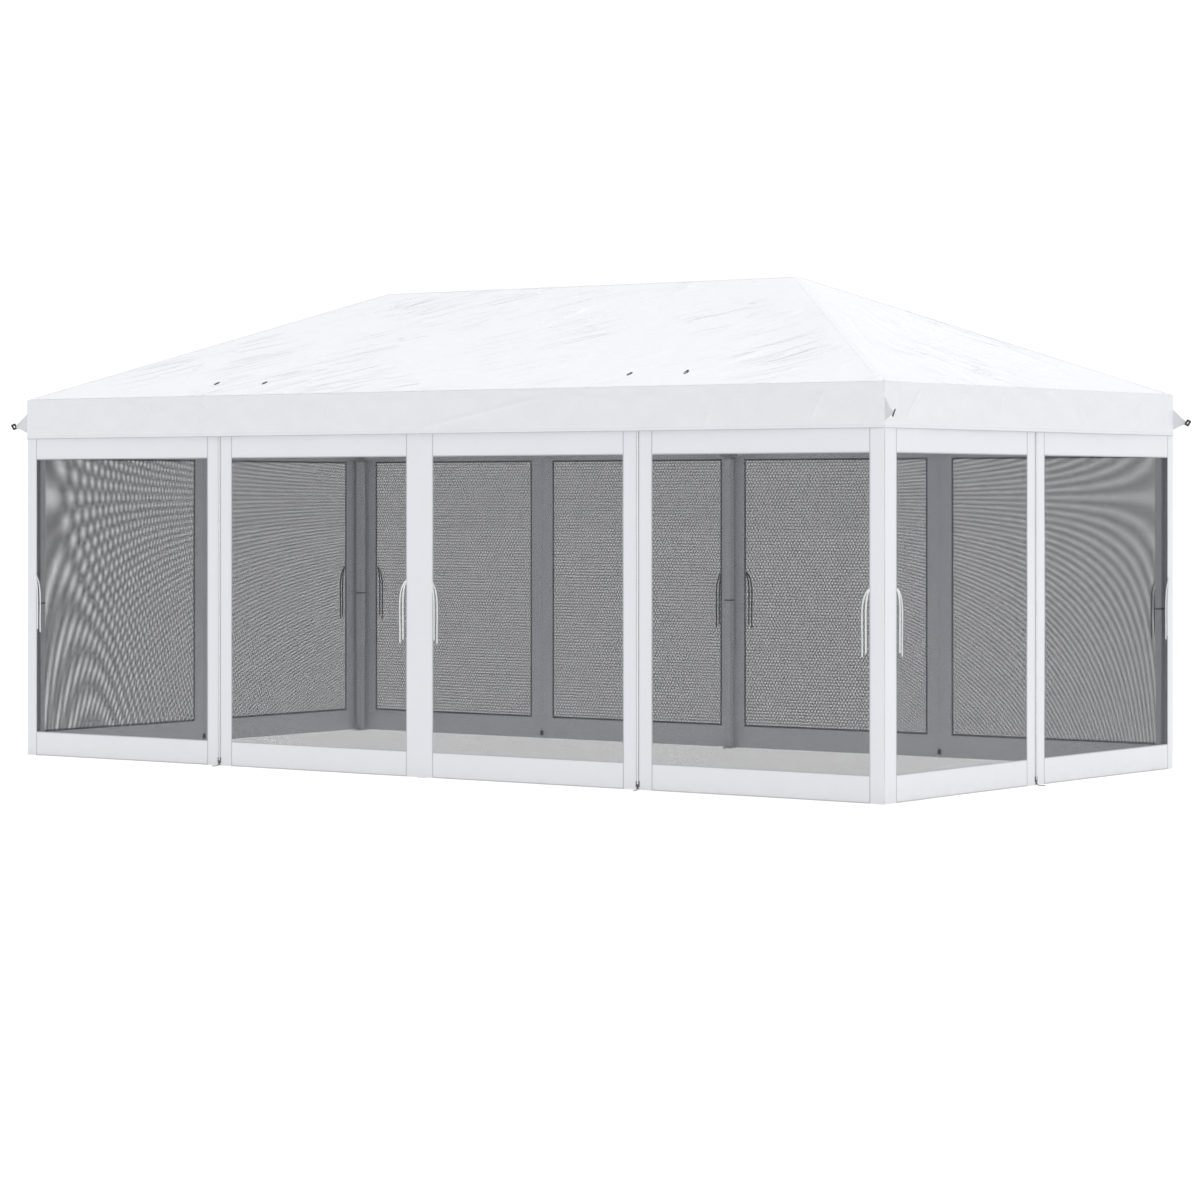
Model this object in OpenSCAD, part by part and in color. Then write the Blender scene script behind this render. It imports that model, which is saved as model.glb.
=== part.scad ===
// Pop-up screen house, 3 x 6 m: six telescoping legs, a scissor frame, a hip canopy and netting walls.
// Millimetres, +Z up. The origin is on the ground, at the middle of the plan. +X runs along the length.
// Each bay is drawn along its own +X, from the leg at its start to the leg at its end, with +Y outward.
// The right half is the mirror image of the left half.

/* [Overall] */
// Distance between the axes of neighbouring legs, the same along and across
leg_spacing = 2895; // [2850:5:2940]
// Height of the eave, where the roof meets the valance
eave_z = 2075; // [2065:5:2150]
// Height of the ridge
ridge_z = 2717; // [2700:1:2800]
// Depth of the valance, measured down from the eave
valance_depth = 229; // [200:1:260]

/* [Fabric] */
// How far the valance stands outside the leg axes
valance_out = 55; // [53:1:60]
// How far the netting stands outside the leg axes
netting_out = 40; // [39:0.5:42]
// Thickness of the canopy solid
canopy_t = 1; // [1:0.5:3]
// Thickness of the netting solid
netting_t = 1; // [1:0.5:2]
// Gap between the netting and the ground
netting_lift = 16; // [12:1:20]
// Gap for the zip in the middle of each wall
zip_gap = 6; // [5:0.5:8]
// Length of the guy loop at each corner of the canopy
loop_len = 70; // [50:5:80]

/* [Frame] */
// Height of the scissor pivots at the leg tops
top_pivot_z = 2000; // [1985:5:2005]
// Height of the scissor frame, between its upper and lower pivots
truss_h = 240; // [220:5:260]
// Distance from a leg axis to the first pivot
pivot_out = 45; // [44:0.5:50]
// Height of a scissor bar
bar_h = 25; // [22:1:26]
// Thickness of a scissor bar
bar_t = 12; // [10:1:13]
// Gap between the two layers of bars
layer_gap = 3; // [2:0.5:4]
// Wall of the bar and rafter tubes
bar_wall = 1; // [0.8:0.1:1.5]
// Radius of the pivot pins
pin_r = 4; // [3.5:0.1:4.5]
// Clearance round the pivot pins
pin_clear = 0.1; // [0.05:0.01:0.1]
// Half of the horizontal reach left between pivots when folded
folded_reach = 60; // [56:1:70]

/* [Legs] */
// Side of the outer leg tube
leg_side = 40; // [38:1:40]
// Side of the inner leg tube
inner_side = 34; // [30:1:34]
// Wall of both leg tubes
leg_wall = 1.2; // [1:0.1:1.8]
// Height of the top of the inner tube with the leg fully out
inner_top_z = 800; // [760:10:900]
// Clearance between a sliding sleeve and its leg
sleeve_clear = 0.6; // [0.4:0.1:0.8]
// Height of a sliding sleeve
sleeve_h = 50; // [44:2:56]
// Side of a sliding sleeve and of a leg's top bracket
sleeve_side = 50; // [48:1:52]
// Side of a foot plate
foot_side = 60; // [54:1:64]
// Thickness of a foot plate
foot_t = 5; // [4:0.5:6]
// Radius of the hole for a ground stake
stake_r = 5.5; // [5:0.1:6]

/* [Roof] */
// Side of a rafter tube
rafter_side = 20; // [18:1:20]
// Radius of the cap under each peak
cap_r = 60; // [50:1:65]

/* [Hidden] */
$fn = 48;
steel = [0.80, 0.81, 0.83];
plastic = [0.13, 0.13, 0.14];
white = [0.95, 0.95, 0.96];
mesh_grey = [0.35, 0.36, 0.38];
more = 1;
bay_reach = leg_spacing / 2 - pivot_out;
bar_len = sqrt(bay_reach * bay_reach + truss_h * truss_h);
bar_angle = atan2(truss_h, bay_reach);
low_pivot_z = top_pivot_z - truss_h;
folded_drop = sqrt(bar_len * bar_len - folded_reach * folded_reach);
sleeve_low_z = top_pivot_z - folded_drop;
layer_y = (bar_t + layer_gap) / 2;
bar_face = layer_gap / 2 + bar_t;
bore_r = pin_r + pin_clear;
head_r = 7;
head_t = 3;
head_gap = 0.5;
end_r = bar_h / 2;
ear_r = 12;
ear_inner = layer_gap / 2;
tube_bottom_z = sleeve_low_z - sleeve_h / 2 - 13;
leg_top_z = top_pivot_z + 40;
bracket_low_z = top_pivot_z - 25;
bracket_top_z = leg_top_z + 5;
cap_under_z = leg_top_z - 5;
half_width = leg_spacing / 2;
mid = leg_spacing / 2;
stake_in = 46;
tab_half = 14;
hub_half = 20;
hub_face = bar_face + head_t + head_gap;
hub_t = 8;
hinge_in = hub_face + hub_t + 23;
hinge_z = top_pivot_z + 30;
rafter_gap = 4;
rafter_x = rafter_gap + rafter_side / 2;
lug_x0 = -6;
lug_t = 8;
peak_drop = 62;
peak_z = ridge_z - peak_drop;
rafter_run = half_width - hinge_in;
rafter_rise = peak_z - hinge_z;
rafter_len = sqrt(rafter_run * rafter_run + rafter_rise * rafter_rise);
rafter_angle = atan2(rafter_rise, rafter_run);
cap_split = 0.75;
cap_h = 14;
knob_r = 14;
knob_h = 12;
canopy_x = leg_spacing + valance_out;
canopy_y = half_width + valance_out;
roof_rise = ridge_z - eave_z;
roof_run = canopy_y;
roof_drop = canopy_t * sqrt(1 + pow(roof_rise / roof_run, 2));
valance_z = eave_z - valance_depth;
netting_x = leg_spacing + netting_out;
netting_y = half_width + netting_out;
netting_top_z = eave_z - 85;
loop_t = 3;
loop_h = 34;
loop_z = eave_z - 0.72 * valance_depth;
pull_z = 34;
pull_w = 22;
pull_h = 30;
pull_plate = 2.5;
pull_gap = 1.2;
pull_neck = 3;
tab_w = 9;
tab_t = 2.5;
tab_h = 24;

// Draw one node by name, or "all" of them.

// Placing

module left_bay(name) {
  if (name == "front") {
    translate([0, -half_width, 0]) rotate([0, 0, 180]) children();
  }
  if (name == "side") {
    translate([-leg_spacing, -half_width, 0]) rotate([0, 0, 90]) children();
  }
  if (name == "back") {
    translate([-leg_spacing, half_width, 0]) children();
  }
}

module right_bay(name) {
  mirror([1, 0, 0]) left_bay(name) children();
}

// Round parts

module across(y0, y1, r) {
  translate([0, y1, 0]) rotate([90, 0, 0]) cylinder(r = r, h = y1 - y0);
}

module pin_with_head(y0, side) {
  // side 1 runs the pin from y0 outward, side -1 inward
  far = bar_face + head_gap;
  if (side == 1) {
    across(y0, far + head_t, pin_r);
    across(far, far + head_t, head_r);
  }
  if (side == -1) {
    across(-far - head_t, y0, pin_r);
    across(-far - head_t, -far, head_r);
  }
}

// Scissor bars

module bar_outline(len) {
  translate([0, -end_r]) square([len, bar_h]);
  circle(r = end_r);
  translate([len, 0]) circle(r = end_r);
}

module bar_tube() {
  difference() {
    rotate([90, 0, 0]) linear_extrude(height = bar_t, center = true) bar_outline(bar_len);
    translate([-end_r - more, bar_wall - bar_t / 2, bar_wall - bar_h / 2])
      cube([bar_len + bar_h + 2 * more, bar_t - 2 * bar_wall, bar_h - 2 * bar_wall]);
  }
}

module bar_bore(at) {
  translate([at, 0, 0]) across(-bar_face, bar_face, bore_r);
}

module rivet(at) {
  // a pivot pin fixed in an outer-layer bar, with a head on each side of the pair
  translate([at, 0, 0]) pin_with_head(bar_face, -1);
  translate([at, 0, 0]) across(bar_face - bar_wall / 2, bar_face + head_t, head_r);
}

module bar_one() {
  // from the leg top at the start of the bay down to the middle, outer layer
  translate([pivot_out, 0, top_pivot_z]) rotate([0, bar_angle, 0]) {
    difference() {
      translate([0, layer_y, 0]) bar_tube();
      bar_bore(0);
    }
    rivet(bar_len / 2);
    rivet(bar_len);
  }
}

module bar_two() {
  // from the sleeve at the start of the bay up to the middle, inner layer
  translate([pivot_out, 0, low_pivot_z]) rotate([0, -bar_angle, 0]) {
    difference() {
      translate([0, -layer_y, 0]) bar_tube();
      bar_bore(0);
      bar_bore(bar_len / 2);
      bar_bore(bar_len);
    }
  }
}

module bar_three() {
  // from the top middle down to the sleeve at the end of the bay, outer layer
  translate([mid, 0, top_pivot_z]) rotate([0, bar_angle, 0]) {
    difference() {
      translate([0, layer_y, 0]) bar_tube();
      bar_bore(0);
      bar_bore(bar_len);
    }
    rivet(bar_len / 2);
  }
}

module bar_four() {
  // from the low middle up to the leg top at the end of the bay, inner layer
  translate([mid, 0, low_pivot_z]) rotate([0, -bar_angle, 0]) {
    difference() {
      translate([0, -layer_y, 0]) bar_tube();
      bar_bore(0);
      bar_bore(bar_len / 2);
      bar_bore(bar_len);
    }
  }
}

// Legs

module square_tube(side, wall, z0, z1) {
  difference() {
    translate([-side / 2, -side / 2, z0]) cube([side, side, z1 - z0]);
    translate([wall - side / 2, wall - side / 2, z0 - more])
      cube([side - 2 * wall, side - 2 * wall, z1 - z0 + 2 * more]);
  }
}

module ear(from_x, side) {
  // a plate out to the pivot at pivot_out, and a pin from it into the other layer
  y0 = side == 1 ? ear_inner : -bar_face;
  translate([from_x, y0, -ear_r]) cube([pivot_out - from_x, bar_t, 2 * ear_r]);
  translate([pivot_out, 0, 0]) across(y0, y0 + bar_t, ear_r);
  translate([pivot_out, 0, 0]) pin_with_head(side * ear_inner, -side);
}

module leg_body() {
  square_tube(leg_side, leg_wall, tube_bottom_z, leg_top_z);
  translate([-leg_side / 2, -leg_side / 2, cap_under_z])
    cube([leg_side, leg_side, leg_top_z - cap_under_z]);
  difference() {
    translate([-sleeve_side / 2, -sleeve_side / 2, bracket_low_z])
      cube([sleeve_side, sleeve_side, bracket_top_z - bracket_low_z]);
    translate([-leg_side / 2, -leg_side / 2, bracket_low_z - more])
      cube([leg_side, leg_side, leg_top_z - bracket_low_z + more]);
  }
}

module start_ear() {
  translate([0, 0, top_pivot_z]) ear(sleeve_side / 2 - more, -1);
}

module end_ear() {
  translate([leg_spacing, 0, top_pivot_z]) mirror([1, 0, 0]) ear(sleeve_side / 2 - more, 1);
}

module foot_body() {
  difference() {
    union() {
      translate([-foot_side / 2, -foot_side / 2, 0]) cube([foot_side, foot_side, foot_t]);
      translate([-tab_half, 0, 0]) cube([2 * tab_half, stake_in, foot_t]);
      translate([0, stake_in, 0]) cylinder(r = tab_half, h = foot_t);
    }
    translate([0, stake_in, -more]) cylinder(r = stake_r, h = foot_t + 2 * more);
  }
  square_tube(inner_side, leg_wall, foot_t / 2, inner_top_z);
}

module sleeve_body() {
  side = leg_side + 2 * sleeve_clear;
  difference() {
    translate([-sleeve_side / 2, -sleeve_side / 2, low_pivot_z - sleeve_h / 2])
      cube([sleeve_side, sleeve_side, sleeve_h]);
    translate([-side / 2, -side / 2, low_pivot_z - sleeve_h / 2 - more])
      cube([side, side, sleeve_h + 2 * more]);
  }
}

module latch() {
  // thumb latch on the outward face of a sleeve
  translate([-9, -sleeve_side / 2 - 7, low_pivot_z - 13]) cube([18, 8, 26]);
}

module start_sleeve_ear() {
  translate([0, 0, low_pivot_z]) ear(sleeve_side / 2 - more, 1);
}

module end_sleeve_ear() {
  translate([leg_spacing, 0, low_pivot_z]) mirror([1, 0, 0]) ear(sleeve_side / 2 - more, -1);
}

// Top middle brackets and rafters

module hub_body() {
  translate([mid - hub_half, -hub_face - hub_t, top_pivot_z - hub_half])
    cube([2 * hub_half, hub_t, 2 * hub_half]);
  translate([mid, 0, top_pivot_z]) pin_with_head(-hub_face - hub_t / 2, 1);
}

module hub_lug() {
  // clevis plate and hinge pin for the rafter, along the bay
  translate([mid + lug_x0, -hinge_in, hinge_z - ear_r])
    cube([lug_t, hinge_in - hub_face - hub_t / 2, 2 * ear_r]);
  translate([mid + lug_x0, -hinge_in, hinge_z]) rotate([0, 90, 0]) cylinder(r = ear_r, h = lug_t);
  translate([mid + lug_x0 + lug_t / 2, -hinge_in, hinge_z]) rotate([0, 90, 0])
    cylinder(r = pin_r, h = rafter_gap + rafter_side - lug_x0 - lug_t / 2 + head_gap + head_t);
  translate([mid + rafter_gap + rafter_side + head_gap, -hinge_in, hinge_z]) rotate([0, 90, 0])
    cylinder(r = head_r, h = head_t);
  translate([mid - hub_half, -hub_face - hub_t, top_pivot_z])
    cube([2 * hub_half, hub_t, hinge_z - top_pivot_z + ear_r]);
}

module rafter_outline() {
  translate([0, -rafter_side / 2]) square([rafter_len, rafter_side]);
  circle(r = rafter_side / 2);
  translate([rafter_len, 0]) circle(r = rafter_side / 2);
}

module rafter_body() {
  hole = rafter_side - 2 * bar_wall;
  translate([mid + rafter_x, -hinge_in, hinge_z])
    rotate([0, 0, -90])
    rotate([0, -rafter_angle, 0])
    difference() {
    rotate([90, 0, 0]) linear_extrude(height = rafter_side, center = true) rafter_outline();
    translate([-rafter_side, -hole / 2, -hole / 2]) cube([rafter_len - rafter_side, hole, hole]);
    across(-rafter_side, rafter_side, bore_r);
  }
}

module peak_half() {
  translate([mid, -half_width, peak_z - cap_h / 2]) intersection() {
    union() {
      cylinder(r = cap_r, h = cap_h);
      cylinder(r = knob_r, h = cap_h + knob_h);
    }
    translate([cap_split, -cap_r - more, -more])
      cube([cap_r + more, 2 * cap_r + 2 * more, cap_h + knob_h + 2 * more]);
  }
}

module rafter_full() {
  rafter_body();
  peak_half();
}

// Zip pulls

module pull_body() {
  out = netting_out;
  plate_in = netting_t / 2 + pull_gap;
  translate([mid - pull_w / 2, out + plate_in, pull_z - pull_h / 2])
    cube([pull_w, pull_plate, pull_h]);
  translate([mid - pull_w / 2, out - plate_in - pull_plate, pull_z - pull_h / 2])
    cube([pull_w, pull_plate, pull_h]);
  translate([mid - pull_neck / 2, out - plate_in - pull_plate / 2, pull_z])
    cube([pull_neck, 2 * plate_in + pull_plate, pull_h / 2 - 2]);
  translate([mid - tab_w / 2, out + plate_in + pull_plate - 0.5, pull_z - pull_h / 2 - 10])
    cube([tab_w, tab_t, tab_h]);
}

// Fabric

module roof_solid(drop, inset) {
  // a hip roof over a flat base, each slope at the same pitch
  top = ridge_z - drop;
  low = eave_z - drop + inset * roof_rise / roof_run;
  x = canopy_x - inset;
  y = canopy_y - inset;
  base = eave_z - 20;
  intersection() {
    rotate([90, 0, 90]) translate([0, 0, -x]) linear_extrude(height = 2 * x)
      polygon([[-y, base], [y, base], [y, low], [0, top], [-y, low]]);
    rotate([90, 0, 0]) translate([0, 0, -y]) linear_extrude(height = 2 * y)
      polygon([[-x, base], [x, base], [x, low], [x - y, top], [y - x, top], [-x, low]]);
  }
}

module valance_box(inset, z0, z1) {
  x = canopy_x - inset;
  y = canopy_y - inset;
  translate([-x, -y, z0]) cube([2 * x, 2 * y, z1 - z0]);
}

module guy_loop() {
  // webbing loop standing out from a corner of the valance
  translate([canopy_x, canopy_y, loop_z]) rotate([0, 0, 45]) difference() {
    translate([-loop_t, -loop_t / 2, -loop_h / 2]) cube([loop_len + loop_t, loop_t, loop_h]);
    translate([loop_len - 24, -loop_t, -loop_h / 2 + 8]) cube([14, 2 * loop_t, loop_h - 16]);
  }
}

module canopy() {
  color(white) {
    difference() {
      union() {
        roof_solid(0, 0);
        valance_box(0, valance_z, eave_z - 10);
      }
      roof_solid(roof_drop, canopy_t);
      valance_box(canopy_t, valance_z - more, eave_z - 15);
    }
    guy_loop();
    mirror([1, 0, 0]) guy_loop();
    mirror([0, 1, 0]) guy_loop();
    mirror([1, 0, 0]) mirror([0, 1, 0]) guy_loop();
  }
}

module wall_ring() {
  difference() {
    translate([-netting_x - netting_t / 2, -netting_y - netting_t / 2, netting_lift])
      cube([2 * netting_x + netting_t, 2 * netting_y + netting_t, netting_top_z - netting_lift]);
    translate([netting_t / 2 - netting_x, netting_t / 2 - netting_y, netting_lift - more])
      cube([2 * netting_x - netting_t, 2 * netting_y - netting_t, netting_top_z]);
  }
}

module zip_slot(x) {
  translate([x - zip_gap / 2, -2 * netting_y, 0]) cube([zip_gap, 4 * netting_y, eave_z]);
}

module netting() {
  // six pieces of wall that meet at the zips in the middle of each side
  color(mesh_grey) difference() {
    wall_ring();
    zip_slot(-mid);
    zip_slot(mid);
    translate([-2 * netting_x, -zip_gap / 2, 0]) cube([4 * netting_x, zip_gap, eave_z]);
  }
}

// The separate pieces

module leg_front_mid() {
  color(steel) {
    translate([0, -half_width, 0]) leg_body();
    left_bay("front") start_ear();
    right_bay("front") start_ear();
  }
}

module leg_front_left() {
  color(steel) {
    translate([-leg_spacing, -half_width, 0]) leg_body();
    left_bay("front") end_ear();
    left_bay("side") start_ear();
  }
}

module leg_back_left() {
  color(steel) {
    translate([-leg_spacing, half_width, 0]) leg_body();
    left_bay("side") end_ear();
    left_bay("back") start_ear();
  }
}

module leg_back_mid() {
  color(steel) {
    translate([0, half_width, 0]) leg_body();
    left_bay("back") end_ear();
    right_bay("back") end_ear();
  }
}

module leg_front_right() {
  color(steel) {
    translate([leg_spacing, -half_width, 0]) leg_body();
    right_bay("front") end_ear();
    right_bay("side") start_ear();
  }
}

module leg_back_right() {
  color(steel) {
    translate([leg_spacing, half_width, 0]) leg_body();
    right_bay("side") end_ear();
    right_bay("back") start_ear();
  }
}

module foot_front_mid() {
  color(steel) translate([0, -half_width, 0]) foot_body();
}

module foot_front_left() {
  color(steel) translate([-leg_spacing, -half_width, 0]) foot_body();
}

module foot_back_left() {
  color(steel) translate([-leg_spacing, half_width, 0]) rotate([0, 0, 180]) foot_body();
}

module foot_back_mid() {
  color(steel) translate([0, half_width, 0]) rotate([0, 0, 180]) foot_body();
}

module foot_front_right() {
  color(steel) translate([leg_spacing, -half_width, 0]) foot_body();
}

module foot_back_right() {
  color(steel) translate([leg_spacing, half_width, 0]) rotate([0, 0, 180]) foot_body();
}

module slider_front_mid() {
  color(plastic) {
    translate([0, -half_width, 0]) sleeve_body();
    translate([0, -half_width, 0]) latch();
    left_bay("front") start_sleeve_ear();
    right_bay("front") start_sleeve_ear();
  }
}

module slider_front_left() {
  color(plastic) {
    translate([-leg_spacing, -half_width, 0]) sleeve_body();
    translate([-leg_spacing, -half_width, 0]) latch();
    left_bay("front") end_sleeve_ear();
    left_bay("side") start_sleeve_ear();
  }
}

module slider_back_left() {
  color(plastic) {
    translate([-leg_spacing, half_width, 0]) rotate([0, 0, 180]) sleeve_body();
    translate([-leg_spacing, half_width, 0]) rotate([0, 0, 180]) latch();
    left_bay("side") end_sleeve_ear();
    left_bay("back") start_sleeve_ear();
  }
}

module slider_back_mid() {
  color(plastic) {
    translate([0, half_width, 0]) rotate([0, 0, 180]) sleeve_body();
    translate([0, half_width, 0]) rotate([0, 0, 180]) latch();
    left_bay("back") end_sleeve_ear();
    right_bay("back") end_sleeve_ear();
  }
}

module slider_front_right() {
  color(plastic) {
    translate([leg_spacing, -half_width, 0]) sleeve_body();
    translate([leg_spacing, -half_width, 0]) latch();
    right_bay("front") end_sleeve_ear();
    right_bay("side") start_sleeve_ear();
  }
}

module slider_back_right() {
  color(plastic) {
    translate([leg_spacing, half_width, 0]) rotate([0, 0, 180]) sleeve_body();
    translate([leg_spacing, half_width, 0]) rotate([0, 0, 180]) latch();
    right_bay("side") end_sleeve_ear();
    right_bay("back") start_sleeve_ear();
  }
}

module bar_front_left_1() {
  color(steel) left_bay("front") bar_one();
}

module bar_front_left_2() {
  color(steel) left_bay("front") bar_two();
}

module bar_front_left_3() {
  color(steel) left_bay("front") bar_three();
}

module bar_front_left_4() {
  color(steel) left_bay("front") bar_four();
}

module bar_left_1() {
  color(steel) left_bay("side") bar_one();
}

module bar_left_2() {
  color(steel) left_bay("side") bar_two();
}

module bar_left_3() {
  color(steel) left_bay("side") bar_three();
}

module bar_left_4() {
  color(steel) left_bay("side") bar_four();
}

module bar_back_left_1() {
  color(steel) left_bay("back") bar_one();
}

module bar_back_left_2() {
  color(steel) left_bay("back") bar_two();
}

module bar_back_left_3() {
  color(steel) left_bay("back") bar_three();
}

module bar_back_left_4() {
  color(steel) left_bay("back") bar_four();
}

module bar_front_right_1() {
  color(steel) right_bay("front") bar_one();
}

module bar_front_right_2() {
  color(steel) right_bay("front") bar_two();
}

module bar_front_right_3() {
  color(steel) right_bay("front") bar_three();
}

module bar_front_right_4() {
  color(steel) right_bay("front") bar_four();
}

module bar_right_1() {
  color(steel) right_bay("side") bar_one();
}

module bar_right_2() {
  color(steel) right_bay("side") bar_two();
}

module bar_right_3() {
  color(steel) right_bay("side") bar_three();
}

module bar_right_4() {
  color(steel) right_bay("side") bar_four();
}

module bar_back_right_1() {
  color(steel) right_bay("back") bar_one();
}

module bar_back_right_2() {
  color(steel) right_bay("back") bar_two();
}

module bar_back_right_3() {
  color(steel) right_bay("back") bar_three();
}

module bar_back_right_4() {
  color(steel) right_bay("back") bar_four();
}

module hub_front_left() {
  color(plastic) left_bay("front") {
    hub_body();
    hub_lug();
  }
}

module hub_left() {
  color(plastic) left_bay("side") hub_body();
}

module hub_back_left() {
  color(plastic) left_bay("back") {
    hub_body();
    hub_lug();
  }
}

module hub_front_right() {
  color(plastic) right_bay("front") {
    hub_body();
    hub_lug();
  }
}

module hub_right() {
  color(plastic) right_bay("side") hub_body();
}

module hub_back_right() {
  color(plastic) right_bay("back") {
    hub_body();
    hub_lug();
  }
}

module rafter_front_left() {
  color(steel) left_bay("front") rafter_full();
}

module rafter_back_left() {
  color(steel) left_bay("back") rafter_full();
}

module rafter_front_right() {
  color(steel) right_bay("front") rafter_full();
}

module rafter_back_right() {
  color(steel) right_bay("back") rafter_full();
}

module pull_front_left() {
  color(plastic) left_bay("front") pull_body();
}

module pull_left() {
  color(plastic) left_bay("side") pull_body();
}

module pull_back_left() {
  color(plastic) left_bay("back") pull_body();
}

module pull_front_right() {
  color(plastic) right_bay("front") pull_body();
}

module pull_right() {
  color(plastic) right_bay("side") pull_body();
}

module pull_back_right() {
  color(plastic) right_bay("back") pull_body();
}

leg_front_mid();
leg_front_left();
leg_back_left();
leg_back_mid();
leg_front_right();
leg_back_right();
foot_front_mid();
foot_front_left();
foot_back_left();
foot_back_mid();
foot_front_right();
foot_back_right();
slider_front_mid();
slider_front_left();
slider_back_left();
slider_back_mid();
slider_front_right();
slider_back_right();
bar_front_left_1();
bar_front_left_2();
bar_front_left_3();
bar_front_left_4();
bar_left_1();
bar_left_2();
bar_left_3();
bar_left_4();
bar_back_left_1();
bar_back_left_2();
bar_back_left_3();
bar_back_left_4();
bar_front_right_1();
bar_front_right_2();
bar_front_right_3();
bar_front_right_4();
bar_right_1();
bar_right_2();
bar_right_3();
bar_right_4();
bar_back_right_1();
bar_back_right_2();
bar_back_right_3();
bar_back_right_4();
hub_front_left();
hub_left();
hub_back_left();
hub_front_right();
hub_right();
hub_back_right();
rafter_front_left();
rafter_back_left();
rafter_front_right();
rafter_back_right();
pull_front_left();
pull_left();
pull_back_left();
pull_front_right();
pull_right();
pull_back_right();
canopy();
netting();
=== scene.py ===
"""Looks of the pop-up screen house: its coated canopy, net walls, zips, tie-backs and steel frame.

Metres, +Z up. Each bay runs from a start leg to an end leg. Each wall, valance and roof slope is cut
in two halves at the middle of its bay, so that a half can go with the leg or the scissor bar that
carries it.
"""

import math

import bmesh
import bpy
import numpy as np
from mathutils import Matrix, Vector


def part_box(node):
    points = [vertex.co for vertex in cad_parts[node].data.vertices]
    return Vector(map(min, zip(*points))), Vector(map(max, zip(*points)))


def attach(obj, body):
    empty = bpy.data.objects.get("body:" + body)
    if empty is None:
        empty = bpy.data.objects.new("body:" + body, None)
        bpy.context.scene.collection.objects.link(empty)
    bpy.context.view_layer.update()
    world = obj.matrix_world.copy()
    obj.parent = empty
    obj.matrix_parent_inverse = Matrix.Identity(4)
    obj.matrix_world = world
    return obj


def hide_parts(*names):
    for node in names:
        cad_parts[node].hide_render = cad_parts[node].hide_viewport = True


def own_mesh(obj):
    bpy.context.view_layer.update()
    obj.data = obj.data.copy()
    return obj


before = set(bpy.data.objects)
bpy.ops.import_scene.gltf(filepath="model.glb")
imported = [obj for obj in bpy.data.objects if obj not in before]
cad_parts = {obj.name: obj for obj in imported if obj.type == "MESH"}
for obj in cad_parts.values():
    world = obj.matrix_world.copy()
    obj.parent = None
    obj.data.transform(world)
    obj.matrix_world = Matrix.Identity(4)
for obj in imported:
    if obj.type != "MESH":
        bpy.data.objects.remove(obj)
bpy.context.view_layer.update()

# ---------------------------------------------------------------- sizes

NETTING_OUT = 0.040  # netting plane outside the leg axes
VALANCE_OUT = 0.055  # valance outside the leg axes
VALANCE_DEPTH = 0.229
NET_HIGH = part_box("netting")[1]
WALL_FOOT = 0.003  # the cloth just clears the ground
LEG_X = NET_HIGH.x - NETTING_OUT - 0.0005
LEG_Y = NET_HIGH.y - NETTING_OUT - 0.0005
HALF_BAY = LEG_Y  # from a leg axis to the middle of its bay
RIDGE_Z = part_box("canopy")[1].z
VALANCE_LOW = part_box("canopy")[0].z
EAVE_Z = VALANCE_LOW + VALANCE_DEPTH
EAVE_X = LEG_X + VALANCE_OUT
EAVE_Y = LEG_Y + VALANCE_OUT
PEAK_X = EAVE_X - EAVE_Y
PITCH = (RIDGE_Z - EAVE_Z) / EAVE_Y
SLOPE_COS = 1 / math.sqrt(1 + PITCH * PITCH)

CLOTH_T = 0.0012
BAND_T = 0.0010
BAND_LIFT = 0.0012  # of the wall's bands off its net
WEBBING_T = 0.0018
TAPE_T = 0.0008
LEG_BAND = 0.093  # white band each side of a leg axis
HALF_BANDS = {  # and at the corners, where the walls' bands differ
    "front_left_end": 0.024,
    "left_start": 0.030,
    "front_right_end": 0.035,
    "right_start": 0.056,
    "right_end": 0.012,
    "back_right_start": 0.050,
}
CORNER_FLARE = 0.012  # how far a corner holds its walls out of the netting plane
ZIP_BAND = 0.093  # white band each side of a zip
ZIP_GAP = 0.003
WINDOW_LOW = 0.142
WINDOW_HIGH = 1.726
NET_OVERLAP = 0.012
BINDING = 0.005  # width of the edging on the bands
HEM = 0.024  # height of the valance's lower seam above its edge
TAPE_WIDTH = 0.026  # of the binding along hips and ridge
EAVE_TAPE = 0.016
NET_PITCH = 0.0034
NET_HOLE = 0.348  # radius of a hole, as a share of the pitch

TIE_HIGH = 1.060
TIE_DIAMETER = 0.0085
FOLDED_WALL = 0.068  # share of a wall half's width left when the legs stand together
FOLDED_ROOF = 0.04
FOLDED_VALANCE = 0.30
FRONT_WRINKLE = math.radians(33)  # how the creases of the long slopes run, in plan

LEGS = {
    "front_mid": (0.0, -LEG_Y),
    "front_left": (-LEG_X, -LEG_Y),
    "back_left": (-LEG_X, LEG_Y),
    "back_mid": (0.0, LEG_Y),
    "front_right": (LEG_X, -LEG_Y),
    "back_right": (LEG_X, LEG_Y),
}
# bay: (start leg, end leg, direction from start to end, outward direction)
BAYS = {
    "front_left": ("front_mid", "front_left", (-1, 0), (0, -1)),
    "left": ("front_left", "back_left", (0, 1), (-1, 0)),
    "back_left": ("back_left", "back_mid", (1, 0), (0, 1)),
    "front_right": ("front_mid", "front_right", (1, 0), (0, -1)),
    "right": ("front_right", "back_right", (0, 1), (1, 0)),
    "back_right": ("back_right", "back_mid", (-1, 0), (0, 1)),
}


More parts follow.
